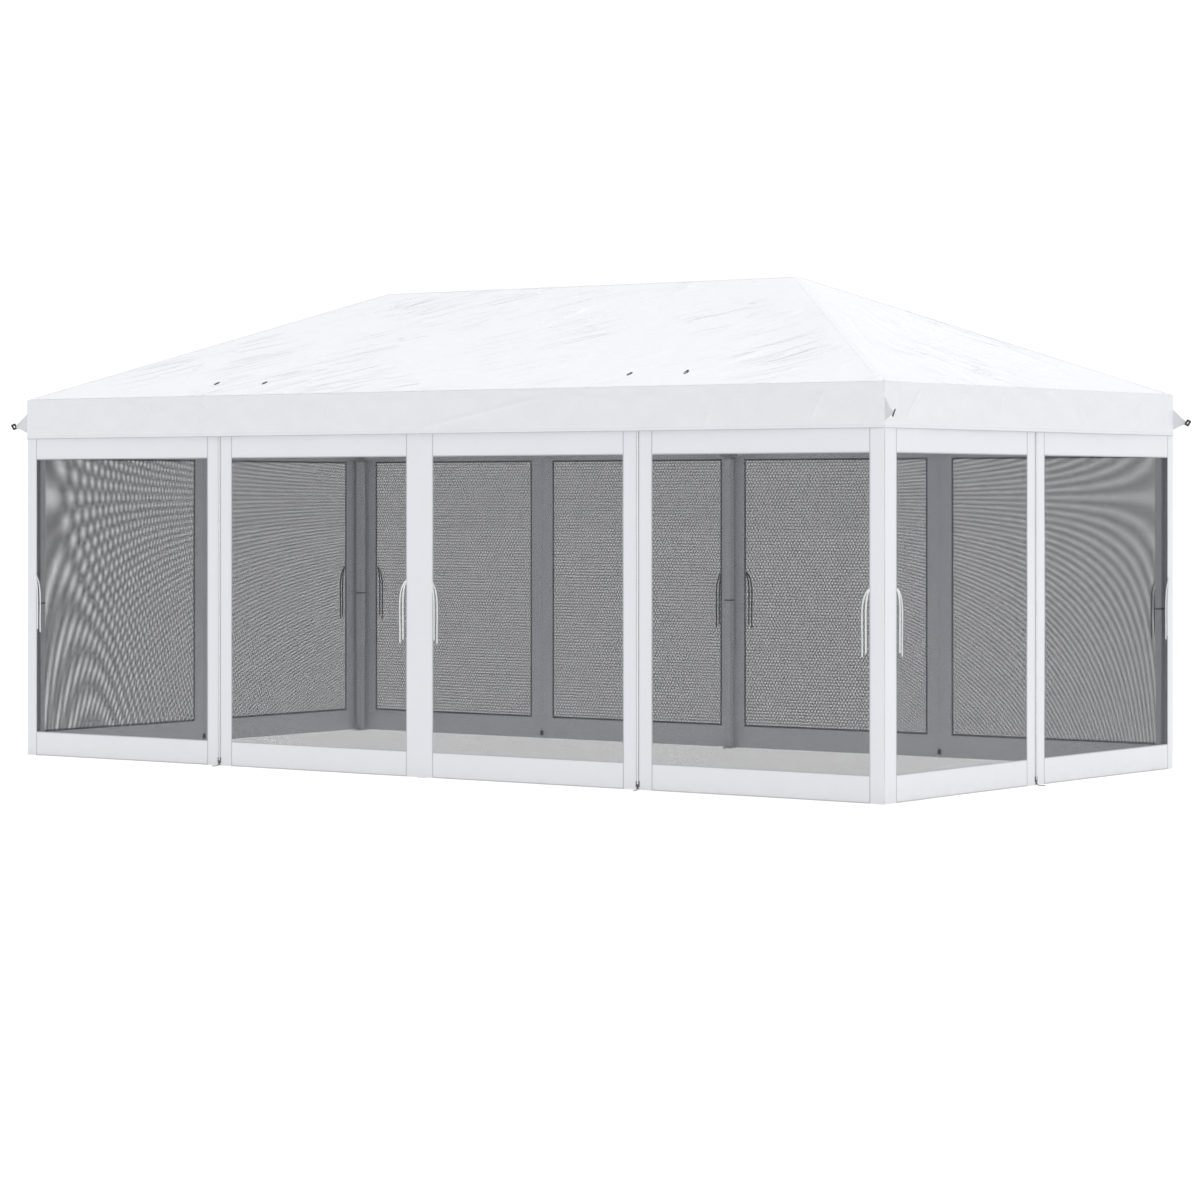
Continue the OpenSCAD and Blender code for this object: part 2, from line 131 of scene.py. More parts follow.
class Half:
    """One half of a bay: distances run from its leg axis towards the middle of the bay."""

    def __init__(self, bay, side):
        start, end, along, out = BAYS[bay]
        self.bay = bay
        self.side = side
        self.name = bay + "_" + side
        self.leg = start if side == "start" else end
        sign = 1 if side == "start" else -1
        self.along = np.array([sign * along[0], sign * along[1], 0.0])
        self.out = np.array([out[0], out[1], 0.0])
        self.origin = np.array([*LEGS[self.leg], 0.0])
        self.corner = not self.leg.endswith("mid")
        self.leg_body = "leg_" + self.leg
        self.bar_body = "bar_%s_%d" % (bay, 1 if side == "start" else 4)
        self.seed = 11 * list(BAYS).index(bay) + (5 if side == "end" else 0)

    def at(self, a, out, z):
        """Points a metres along the bay, out metres outside the leg axes, z above the ground."""
        a, out, z = np.broadcast_arrays(*(np.asarray(v, float) for v in (a, out, z)))
        p = self.origin + a[..., None] * self.along + out[..., None] * self.out
        p[..., 2] = z
        return p


HALVES = [Half(bay, side) for bay in BAYS for side in ("start", "end")]

# ---------------------------------------------------------------- noise


def smooth(low, high, x):
    t = np.clip((x - low) / (high - low), 0, 1)
    return t * t * (3 - 2 * t)


def noise(x, y, seed):
    """Gradient noise in about -1 to 1, the same for the same seed."""
    table = np.random.default_rng(seed).random((64, 64)) * 2 * math.pi
    x, y = np.broadcast_arrays(np.asarray(x, float), np.asarray(y, float))
    ix, iy = np.floor(x).astype(int), np.floor(y).astype(int)
    fx, fy = x - ix, y - iy
    sx = fx * fx * fx * (fx * (fx * 6 - 15) + 10)
    sy = fy * fy * fy * (fy * (fy * 6 - 15) + 10)

    def corner(dx, dy):
        turn = table[(ix + dx) % 64, (iy + dy) % 64]
        return np.cos(turn) * (fx - dx) + np.sin(turn) * (fy - dy)

    low = corner(0, 0) * (1 - sx) + corner(1, 0) * sx
    high = corner(0, 1) * (1 - sx) + corner(1, 1) * sx
    return 1.5 * (low * (1 - sy) + high * sy)


def creased(value, width):
    """A sharp ridge where value crosses zero."""
    return 1 / (1 + (value / width) ** 2)


def line_crease(a, b, p, q, width):
    """A straight crease from p to q in the (a, b) plane, fading at its ends."""
    d = np.array(q, float) - np.array(p, float)
    length = math.hypot(*d)
    d = d / length
    along = (a - p[0]) * d[0] + (b - p[1]) * d[1]
    across = (b - p[1]) * d[0] - (a - p[0]) * d[1]
    ends = smooth(0, 0.25 * length, along) * smooth(0, 0.25 * length, length - along)
    return creased(across, width) * ends


# ---------------------------------------------------------------- node helpers


def feed(tree, socket, value):
    """Links a socket to another's output, or sets the socket's own value."""
    if isinstance(value, bpy.types.NodeSocket):
        tree.links.new(value, socket)
    else:
        socket.default_value = value


def place(tree, kind, inputs=None, **settings):
    node = tree.nodes.new(kind)
    for key, value in settings.items():
        setattr(node, key, value)
    for key, value in (inputs or {}).items():
        feed(tree, node.inputs[key], value)
    return node


def calc(tree, operation, a, b=0.0, c=0.0):
    node = place(tree, "ShaderNodeMath", operation=operation)
    for socket, value in zip(node.inputs, (a, b, c)):
        feed(tree, socket, value)
    return node.outputs[0]


def times(tree, a, b):
    return calc(tree, "MULTIPLY", a, b)


def cloud(tree, vector, scale, detail, **more):
    """A noise texture, from 0 to 1."""
    inputs = {"Vector": vector, "Scale": scale, "Detail": detail, **more}
    return place(tree, "ShaderNodeTexNoise", inputs).outputs["Fac"]


def bump(tree, height, distance, strength=1.0, **more):
    inputs = {"Height": height, "Distance": distance, "Strength": strength, **more}
    return place(tree, "ShaderNodeBump", inputs).outputs[0]


def mix_rgb(tree, factor, a, b):
    """A colour from a to b, where each is a colour or a colour socket."""
    node = place(tree, "ShaderNodeMix", data_type="RGBA")
    sockets = [s for s in node.inputs if s.enabled]
    for socket, value in zip(sockets, (factor, a, b)):
        feed(tree, socket, (*value, 1.0) if isinstance(value, tuple) else value)
    return [s for s in node.outputs if s.enabled][0]


def group(name, inputs, outputs):
    """A shader group with float or vector inputs: its tree, what it is given, and the sockets it puts out."""
    tree = bpy.data.node_groups.new(name, "ShaderNodeTree")
    for key, value in inputs.items():
        kind = "NodeSocketVector" if value is None else "NodeSocketFloat"
        socket = tree.interface.new_socket(key, in_out="INPUT", socket_type=kind)
        if value is not None:
            socket.default_value = value
    for key in outputs:
        tree.interface.new_socket(key, in_out="OUTPUT", socket_type="NodeSocketFloat")
    return tree, place(tree, "NodeGroupInput").outputs, place(tree, "NodeGroupOutput").inputs


def weave_group():
    """Plain weave: threads over and under, as a height, and a slight unevenness from thread to thread."""
    tree, given, made = group("plain weave", {"Vector": None, "Thread": 0.0012}, ("Height", "Tone"))
    scale = calc(tree, "DIVIDE", math.pi, given["Thread"])
    parts = place(tree, "ShaderNodeSeparateXYZ", {0: given["Vector"]}).outputs
    across, up = (calc(tree, "SINE", times(tree, part, scale)) for part in (parts[0], parts[1]))
    feed(tree, made["Height"], times(tree, across, up))
    feed(tree, made["Tone"], cloud(tree, given["Vector"], 90.0, 2.0))
    return tree


def crumple_group():
    """Soft crumples and packing creases that are too fine for the mesh."""
    tree, given, made = group("cloth crumple", {"Vector": None, "Size": 0.09}, ("Height", "Tone"))
    here = given["Vector"]
    scale = calc(tree, "DIVIDE", 1.0, given["Size"])
    cells = place(tree, "ShaderNodeTexVoronoi", {"Vector": here, "Scale": scale}, feature="DISTANCE_TO_EDGE")
    crease = calc(tree, "MINIMUM", cells.outputs["Distance"], 0.12)
    soft = cloud(tree, here, scale, 3.0, Distortion=0.6)
    feed(tree, made["Height"], calc(tree, "MULTIPLY_ADD", crease, 0.8, soft))
    feed(tree, made["Tone"], cloud(tree, here, 2.2, 4.0, Roughness=0.6))
    return tree


def net_group():
    """A hexagonal net: 0 in its holes and 1 on its threads, and how far a place is from its hole's rim."""
    sizes = {"Vector": None, "Pitch": NET_PITCH, "Hole": NET_HOLE}
    tree, given, made = group("hexagonal net", sizes, ("Thread", "Rim"))

    def vector(operation, inputs):
        return place(tree, "ShaderNodeVectorMath", inputs, operation=operation).outputs

    half_wide, half_high = 0.5, math.sqrt(3) / 2
    size = calc(tree, "DIVIDE", 1.0, given["Pitch"])
    scaled = vector("SCALE", {0: given["Vector"], "Scale": size})[0]
    low, high = (-half_wide, -half_high, -0.5), (half_wide, half_high, 0.5)
    nearest = []
    for shift in ((0.0, 0.0, 0.0), (half_wide, half_high, 0.0)):
        moved = vector("ADD", {0: scaled, 1: shift})[0]
        wrapped = vector("WRAP", {0: moved, 1: high, 2: low})[0]
        flat = vector("MULTIPLY", {0: wrapped, 1: (1.0, 1.0, 0.0)})[0]
        nearest.append(vector("LENGTH", {0: flat})["Value"])
    distance = calc(tree, "MINIMUM", *nearest)
    feed(tree, made["Thread"], calc(tree, "GREATER_THAN", distance, given["Hole"]))
    feed(tree, made["Rim"], calc(tree, "SUBTRACT", distance, given["Hole"]))
    return tree


def dust_group():
    """Dust that gathers near the ground, and a fine grain."""
    tree, given, made = group("ground dust", {"Vector": None, "Height": 0.25}, ("Dust", "Grain"))
    here = given["Vector"]
    level = place(tree, "ShaderNodeSeparateXYZ", {0: here}).outputs[2]
    high = calc(tree, "MINIMUM", calc(tree, "DIVIDE", level, given["Height"]), 1.0)
    low = calc(tree, "SUBTRACT", 1.0, high)
    feed(tree, made["Dust"], times(tree, times(tree, low, low), cloud(tree, here, 14.0, 5.0)))
    feed(tree, made["Grain"], cloud(tree, here, 420.0, 2.0))
    return tree


def streak_group():
    """Long thin creases that run one way across a cloth, as a height."""
    tree, given, made = group("long creases", {"Vector": None, "Turn": 0.0}, ("Height",))
    turn = place(tree, "ShaderNodeCombineXYZ", {2: given["Turn"]}).outputs[0]
    stretch = {"Vector": given["Vector"], "Rotation": turn, "Scale": (0.62, 0.085, 1.0)}
    along = place(tree, "ShaderNodeMapping", stretch, vector_type="TEXTURE").outputs[0]
    drift = cloud(tree, along, 1.0, 1.0, Distortion=0.35)
    level = calc(tree, "ABSOLUTE", calc(tree, "SUBTRACT", drift, 0.5))
    line = calc(tree, "SUBTRACT", 1.0, calc(tree, "MINIMUM", times(tree, level, 22.0), 1.0))
    patch = calc(tree, "SUBTRACT", cloud(tree, given["Vector"], 1.7, 1.0), 0.42)
    here = calc(tree, "MINIMUM", times(tree, calc(tree, "MAXIMUM", patch, 0.0), 5.0), 1.0)
    feed(tree, made["Height"], times(tree, times(tree, line, line), here))
    return tree


WEAVE = weave_group()
CRUMPLE = crumple_group()
NET = net_group()
DUST = dust_group()
STREAK = streak_group()


def use_group(tree, made, **inputs):
    return place(tree, "ShaderNodeGroup", inputs, node_tree=made).outputs


def new_material(name, roughness, **constants):
    material = bpy.data.materials.new(name)
    material.use_nodes = True
    tree = material.node_tree
    shader = tree.nodes["Principled BSDF"]
    shader.inputs["Roughness"].default_value = roughness
    for key, value in constants.items():
        shader.inputs[key.replace("_", " ")].default_value = value
    return material, tree, shader


def wire(tree, shader, **sockets):
    """Links outputs to the shader's sockets, whose spaces are written as underscores."""
    for key, value in sockets.items():
        tree.links.new(value, shader.inputs[key.replace("_", " ")])


def cloth_material(name, colour, dirty, crumple_size, crumple_depth, roughness, thread=0.0012, streaks=0.0):
    material, tree, shader = new_material(name, roughness, Sheen_Weight=0.15, Sheen_Roughness=0.45)
    uv = place(tree, "ShaderNodeUVMap", uv_map="cloth").outputs[0]
    here = place(tree, "ShaderNodeTexCoord").outputs["Object"]
    weave = use_group(tree, WEAVE, Vector=uv, Thread=thread)
    crumple = use_group(tree, CRUMPLE, Vector=uv, Size=crumple_size)
    dust = use_group(tree, DUST, Vector=here, Height=0.16)
    shade = tuple(c * 0.955 for c in colour)
    tone = mix_rgb(tree, crumple["Tone"], colour, shade)
    fibre = mix_rgb(tree, times(tree, weave["Tone"], 0.12), tone, shade)
    soiled = mix_rgb(tree, times(tree, dust["Dust"], 0.35), fibre, dirty)
    rough = calc(tree, "MULTIPLY_ADD", crumple["Tone"], 0.16, roughness - 0.08)
    height = crumple["Height"]
    if streaks:
        streak = use_group(tree, STREAK, Vector=here, Turn=FRONT_WRINKLE)
        height = calc(tree, "MULTIPLY_ADD", streak["Height"], streaks, height)
    threads = bump(tree, weave["Height"], 0.00006, 0.6, Normal=bump(tree, height, crumple_depth))
    wire(tree, shader, Base_Color=soiled, Roughness=rough, Normal=threads)
    return material


def net_material():
    material, tree, shader = new_material("polyester net", 0.75)
    uv = place(tree, "ShaderNodeUVMap", uv_map="cloth").outputs[0]
    net = use_group(tree, NET, Vector=uv, Pitch=NET_PITCH, Hole=NET_HOLE)
    slub = use_group(tree, WEAVE, Vector=uv, Thread=0.002)
    colour = mix_rgb(tree, slub["Tone"], (0.018, 0.020, 0.027), (0.034, 0.037, 0.047))
    round_thread = bump(tree, net["Rim"], 0.0006, 0.5)
    wire(tree, shader, Base_Color=colour, Alpha=net["Thread"], Normal=round_thread)
    return material


def hard_material(name, colour, worn, roughness, grain_depth, coat=0.0):
    material, tree, shader = new_material(name, roughness, Coat_Weight=coat, Coat_Roughness=0.3)
    here = place(tree, "ShaderNodeTexCoord").outputs["Object"]
    dust = use_group(tree, DUST, Vector=here, Height=0.4)
    smudge = cloud(tree, here, 9.0, 4.0)
    tone = mix_rgb(tree, smudge, colour, worn)
    soiled = mix_rgb(tree, times(tree, dust["Dust"], 0.4), tone, (0.36, 0.34, 0.31))
    rough = calc(tree, "MULTIPLY_ADD", smudge, 0.18, roughness - 0.09)
    grain = bump(tree, dust["Grain"], grain_depth, 0.7)
    wire(tree, shader, Base_Color=soiled, Roughness=rough, Normal=grain)
    return material


def cord_material(name, light, dark):
    material, tree, shader = new_material(name, 0.7, Sheen_Weight=0.2)
    here = place(tree, "ShaderNodeTexCoord").outputs["Object"]
    grain = use_group(tree, DUST, Vector=here, Height=0.1)["Grain"]
    wire(tree, shader, Base_Color=mix_rgb(tree, grain, light, dark), Normal=bump(tree, grain, 0.0004))
    return material


WHITE_COAT = ((0.893, 0.901, 0.945), (0.6, 0.58, 0.54), 0.085, 0.0035, 0.48)
WALL_SOIL = (0.58, 0.56, 0.52)
TRIM_SOIL = (0.4, 0.39, 0.37)
CANOPY = cloth_material("coated canopy cloth", *WHITE_COAT, streaks=1.5)
VALANCE_CLOTH = cloth_material("coated valance cloth", *WHITE_COAT, streaks=0.35)
BAND = cloth_material("white wall cloth", (0.875, 0.883, 0.927), WALL_SOIL, 0.11, 0.0024, 0.62)
# back layer of the wall bands: darker partly for the cloth's grey inner coating and partly as painted shade,
# as the inside of the walls lies in the canopy's shadow
BAND_INSIDE_SHADE = cloth_material("wall cloth inside painted shade", (0.66, 0.667, 0.70), (0.46, 0.45, 0.42), 0.11, 0.0024, 0.66)
# grey binding for the edges of the wall bands, also used on the valance's lower edge as a painted shadow line
GREY_BINDING_AND_SHADOW_LINE = cloth_material("grey edge binding", (0.56, 0.57, 0.61), TRIM_SOIL, 0.04, 0.0004, 0.7, 0.0010)
# the zip's tape: its grey, showing as a thin line each side of the white coil, paints the shadowed gaps
# beside the coil
ZIP_TAPE_GAP_SHADE = cloth_material("grey zip tape with painted gap shade", (0.55, 0.56, 0.59), TRIM_SOIL, 0.04, 0.0003, 0.5, 0.0008)
WEBBING = cloth_material("grey webbing", (0.74, 0.75, 0.78), TRIM_SOIL, 0.04, 0.0006, 0.7, 0.0022)
NETTING = net_material()
CORD = cord_material("white cord", (0.93, 0.935, 0.95), (0.84, 0.845, 0.86))
# a dark copy of the white cord: painted shade for the ties on the far walls, which are seen from their shaded
# side
SHADED_CORD = cord_material("cord in painted shade", (0.20, 0.19, 0.195), (0.15, 0.14, 0.145))
STEEL = hard_material("powder coated steel", (0.66, 0.67, 0.69), (0.60, 0.61, 0.63), 0.42, 0.0001)
GREY_PLASTIC = hard_material("grey moulded plastic", (0.40, 0.405, 0.42), (0.34, 0.345, 0.36), 0.5, 0.0001)
PLASTIC = hard_material("black moulded plastic", (0.028, 0.028, 0.031), (0.045, 0.045, 0.048), 0.5, 0.0001)
THREAD = hard_material("sewing thread", (0.80, 0.805, 0.82), (0.74, 0.745, 0.76), 0.7, 0.00005)
COIL = hard_material("zip coil", (0.97, 0.975, 0.985), (0.95, 0.955, 0.965), 0.28, 0.00003, coat=0.4)
STRAP = hard_material("grey strap", (0.20, 0.20, 0.21), (0.16, 0.16, 0.17), 0.8, 0.0002)

# ---------------------------------------------------------------- making meshes


def add(made):
    bpy.context.scene.collection.objects.link(made)
    return made


def link(name, points, faces, material, smooth_faces=True):
    mesh = bpy.data.meshes.new(name)
    mesh.from_pydata([tuple(p) for p in points], [], [tuple(f) for f in faces])
    mesh.materials.append(material)
    if smooth_faces:
        mesh.polygons.foreach_set("use_smooth", [True] * len(mesh.polygons))
    mesh.update()
    return add(bpy.data.objects.new(name, mesh))


def set_uv(mesh, uv):
    layer = mesh.uv_layers.new(name="cloth")
    corner = np.zeros(len(mesh.loops), int)
    mesh.loops.foreach_get("vertex_index", corner)
    layer.data.foreach_set("uv", np.asarray(uv, np.float32)[corner].ravel())


def layers(points, normals, uv, keep, thickness):
    """The points, normals, UVs, faces and face sides of a sheet over a grid.

    A sheet has a front (side 0), a back (1) and a rim (2), or only a front where it has no thickness.
    """
    rows, columns = points.shape[:2]
    index = np.arange(rows * columns).reshape(rows, columns)
    quads = np.stack([index[:-1, :-1], index[1:, :-1], index[1:, 1:], index[:-1, 1:]], -1)
    quads = quads[keep]
    p, n, t = points.reshape(-1, 3), normals.reshape(-1, 3), uv.reshape(-1, 2)
    turn = np.cross(p[quads[:, 1]] - p[quads[:, 0]], p[quads[:, 2]] - p[quads[:, 0]])
    if (turn * n[quads[:, 0]]).sum() < 0:
        quads = quads[:, ::-1]
    used, quads = np.unique(quads, return_inverse=True)
    quads = quads.reshape(-1, 4)
    p, n, t = p[used], n[used], t[used]
    faces = quads
    sides = np.zeros(len(quads), int)
    if thickness:
        count = len(p)
        edges = np.concatenate([quads[:, [i, (i + 1) % 4]] for i in range(4)])
        code = edges[:, 0].astype(np.int64) * count + edges[:, 1]
        back = edges[:, 1].astype(np.int64) * count + edges[:, 0]
        rim = edges[~np.isin(code, back)]
        rims = np.stack([rim[:, 1], rim[:, 0], rim[:, 0] + count, rim[:, 1] + count], -1)
        faces = np.concatenate([quads, quads[:, ::-1] + count, rims])
        sides = np.repeat([0, 1, 2], [len(quads), len(quads), len(rims)])
        p = np.concatenate([p + n * thickness / 2, p - n * thickness / 2])
        n = np.concatenate([n, -n])
        t = np.concatenate([t, t])
    return p, n, t, faces, sides


def cloth(name, grids, material, thickness=CLOTH_T, inside=None):
    """One piece of cloth from grids of (points, normals, uv, cells that are cloth or None for all)."""
    points, normals, uvs, faces, sides, count = [], [], [], [], [], 0
    for grid_points, grid_normals, uv, keep in grids:
        if keep is None:
            keep = np.ones((grid_points.shape[0] - 1, grid_points.shape[1] - 1), bool)
        p, n, t, quads, side = layers(grid_points, grid_normals, uv, keep, thickness)
        points.append(p)
        normals.append(n)
        uvs.append(t)
        faces.append(quads + count)
        sides.append(side)
        count += len(p)
    points, normals = np.concatenate(points), np.concatenate(normals)
    faces, sides = np.concatenate(faces), np.concatenate(sides)
    made = link(name, points, faces.tolist(), material)
    set_uv(made.data, np.concatenate(uvs))
    # the rim is shaded flat, so that it doesn't darken between the front and the back
    rim = faces[sides == 2]
    flat = np.cross(points[rim[:, 2]] - points[rim[:, 0]], points[rim[:, 3]] - points[rim[:, 1]])
    flat /= np.maximum(np.linalg.norm(flat, axis=1, keepdims=True), 1e-12)
    corners = normals[faces]
    corners[sides == 2] = flat[:, None, :]
    made.data.normals_split_custom_set(corners.reshape(-1, 3).tolist())
    # the back layer may take its own material; for the wall bands it is a darker cloth, partly painted shade
    if inside:
        made.data.materials.append(inside)
        made.data.polygons.foreach_set("material_index", (sides == 1).astype(np.int32))
    return made


def normals_of(shape, a, b, step=0.002):
    """Normals of a surface given by shape(a, b)."""
    across = shape(a + step, b) - shape(a - step, b)
    up = shape(a, b + step) - shape(a, b - step)
    n = np.cross(across, up)
    return n / np.linalg.norm(n, axis=-1, keepdims=True)


def facing(n, towards):
    """Normals turned to the side that towards points to."""
    sign = np.sign((n * np.asarray(towards, float)).sum(-1, keepdims=True))
    return n * np.where(sign == 0, 1, sign)


def patch(shape, a, b, towards):
    """The points of a surface at (a, b), and its normals on the side that towards points to."""
    a, b = np.broadcast_arrays(a, b)
    return shape(a, b), facing(normals_of(shape, a, b), towards)


def panel(name, shape, a, b, towards, material, thickness=CLOTH_T, uv=(1, 0, 1), keep=None, inside=None):
    """A cloth over the grid lines a and b of a surface. uv: the UV's scale and shift in a, and scale in b."""
    a, b = np.meshgrid(a, b, indexing="ij")
    points, normals = patch(shape, a, b, towards)
    flat = np.stack([a * uv[0] + uv[1], b * uv[2]], -1)
    return cloth(name, [(points, normals, flat, keep)], material, thickness, inside)


def spread(*stops):
    """Grid lines through the stops (place, spacing up to the next one)."""
    lines = [stops[0][0]]
    for (low, step), (high, _) in zip(stops[:-1], stops[1:]):
        count = max(1, int(round((high - low) / step)))
        lines += [low + (high - low) * i / count for i in range(1, count + 1)]
    return np.array(lines)


def run_tree(name, staggered):
    """Small parts repeated along a mesh's edges: stitches, or the teeth of a zip on alternate sides."""
    tree = bpy.data.node_groups.new(name, "GeometryNodeTree")
    face = tree.interface
    face.new_socket("Geometry", in_out="INPUT", socket_type="NodeSocketGeometry")
    sizes = {"Pitch": 0.006, "Length": 0.004, "Width": 0.0012, "Height": 0.0008, "Stagger": 0.0}
    for key, value in sizes.items():
        face.new_socket(key, in_out="INPUT", socket_type="NodeSocketFloat").default_value = value
    face.new_socket("Material", in_out="INPUT", socket_type="NodeSocketMaterial")
    face.new_socket("Geometry", in_out="OUTPUT", socket_type="NodeSocketGeometry")
    given = place(tree, "NodeGroupInput").outputs
    made = place(tree, "NodeGroupOutput").inputs
    curve = place(tree, "GeometryNodeMeshToCurve", {0: given["Geometry"]}).outputs[0]
    evenly = {"Curve": curve, "Length": given["Pitch"]}
    spots = place(tree, "GeometryNodeResampleCurve", evenly, mode="LENGTH").outputs[0]
    sides = {0: given["Length"], 1: given["Width"], 2: given["Height"]}
    size = place(tree, "ShaderNodeCombineXYZ", sides).outputs[0]
    bead = place(tree, "GeometryNodeMeshIcoSphere", {"Radius": 0.5, "Subdivisions": 1}).outputs["Mesh"]
    tangent = place(tree, "GeometryNodeInputTangent").outputs[0]
    turned = place(tree, "FunctionNodeAlignRotationToVector", {"Vector": tangent}, axis="X").outputs[0]
    if staggered:
        odd = calc(tree, "MODULO", place(tree, "GeometryNodeInputIndex").outputs[0], 2.0)
        side = times(tree, calc(tree, "SUBTRACT", odd, 0.5), given["Stagger"])
        normal = place(tree, "GeometryNodeInputNormal").outputs[0]
        beside = place(tree, "ShaderNodeVectorMath", {0: normal, "Scale": side}, operation="SCALE").outputs[0]
        spots = place(tree, "GeometryNodeSetPosition", {"Geometry": spots, "Offset": beside}).outputs[0]
    parts = {"Points": spots, "Instance": bead, "Rotation": turned, "Scale": size}
    copies = place(tree, "GeometryNodeInstanceOnPoints", parts).outputs[0]
    solid = place(tree, "GeometryNodeRealizeInstances", {0: copies}).outputs[0]
    painted = {"Geometry": solid, "Material": given["Material"]}
    feed(tree, made[0], place(tree, "GeometryNodeSetMaterial", painted).outputs[0])
    return tree


STITCHES = run_tree("run of stitches", False)
TEETH = run_tree("zip teeth", True)


def repeat_along(name, lines, tree, material, **inputs):
    """A plain mesh of the tree's parts along the given lines of points."""
    points, edges = [], []
    for line in lines:
        start = len(points)
        points += [tuple(p) for p in line]
        edges += [(start + i, start + i + 1) for i in range(len(line) - 1)]
    base = bpy.data.meshes.new(name + "_path")
    base.from_pydata(points, edges, [])
    holder = add(bpy.data.objects.new(name + "_path", base))
    modifier = holder.modifiers.new("run", "NODES")
    modifier.node_group = tree
    sockets = {s.name: s.identifier for s in tree.interface.items_tree if s.in_out == "INPUT"}
    for key, value in {**inputs, "Material": material}.items():
        modifier[sockets[key]] = value
    shown = bpy.context.evaluated_depsgraph_get()
    mesh = bpy.data.meshes.new_from_object(holder.evaluated_get(shown))
    mesh.name = name
    if not mesh.materials:
        mesh.materials.append(material)
    mesh.polygons.foreach_set("use_smooth", [True] * len(mesh.polygons))
    bpy.data.objects.remove(holder)
    return add(bpy.data.objects.new(name, mesh))


def stitches(name, lines):
    sizes = {"Pitch": 0.0078, "Length": 0.0058, "Width": 0.0012, "Height": 0.0009}
    return repeat_along(name, lines, STITCHES, THREAD, **sizes)


def carry(pieces, body, slot, cad=None, **fold):
    """Puts pieces on a body in place of a CAD solid, which it hides, and gives each piece its own mesh when
    fold settings are given; slot is not used.
    """
    for piece in pieces:
        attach(piece, body)
        if fold:
            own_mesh(piece)
        if cad:
            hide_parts(cad)


# ---------------------------------------------------------------- camera, light and floor

CAMERA_AT = (12.565, -16.840, 1.506)
CAMERA_TURN = math.radians(126.50 - 90)
SKY_LIGHT = 0.66
BACKDROP = 1.14  # brightness of the background as the camera sees it
FLOOR_LIT = 0.138  # how much of that the floor gets from the lights
FLOOR_REACH = 120.0

camera_data = bpy.data.cameras.new("camera")
camera_data.lens = 110.64
camera_data.sensor_width = 36
camera_data.shift_y = -0.0854
camera_data.clip_end = 400
camera = add(bpy.data.objects.new("camera", camera_data))
camera.location = CAMERA_AT
camera.rotation_euler = (math.pi / 2, 0, CAMERA_TURN)
bpy.context.scene.camera = camera
bpy.context.scene.view_settings.view_transform = "Standard"

world = bpy.data.worlds.new("studio")
world.use_nodes = True
bpy.context.scene.world = world
sky = world.node_tree.nodes["Background"]
seen = place(world.node_tree, "ShaderNodeLightPath").outputs["Is Camera Ray"]
levels = {"Value": seen, "To Min": SKY_LIGHT, "To Max": BACKDROP}
strength = place(world.node_tree, "ShaderNodeMapRange", levels)
world.node_tree.links.new(strength.outputs[0], sky.inputs["Strength"])
sky.inputs["Color"].default_value = (1.0, 1.0, 1.0, 1.0)


def sun(name, energy, angle, towards):
    light = bpy.data.lights.new(name, "SUN")
    light.energy = energy
    light.angle = math.radians(angle)
    add(bpy.data.objects.new(name, light)).rotation_euler = Vector(towards).to_track_quat("Z", "Y").to_euler()


sun("key", 1.64, 8, (-0.100, 0.330, 0.940))
sun("fill", 0.31, 30, (1.0, 0.0, 0.12))

floor_material, _, floor_shader = new_material("studio floor", 0.9, Specular_IOR_Level=0.1)
floor_shader.inputs["Base Color"].default_value = (0.12, 0.12, 0.12, 1)
floor_shader.inputs["Emission Color"].default_value = (1, 1, 1, 1)
floor_shader.inputs["Emission Strength"].default_value = BACKDROP - FLOOR_LIT
floor_corners = [(FLOOR_REACH * i, FLOOR_REACH * j, 0) for i, j in ((-1, -1), (1, -1), (1, 1), (-1, 1))]
link("floor", floor_corners, [(0, 1, 2, 3)], floor_material, False)

# ---------------------------------------------------------------- roof

COS_W, SIN_W = math.cos(FRONT_WRINKLE), math.sin(FRONT_WRINKLE)


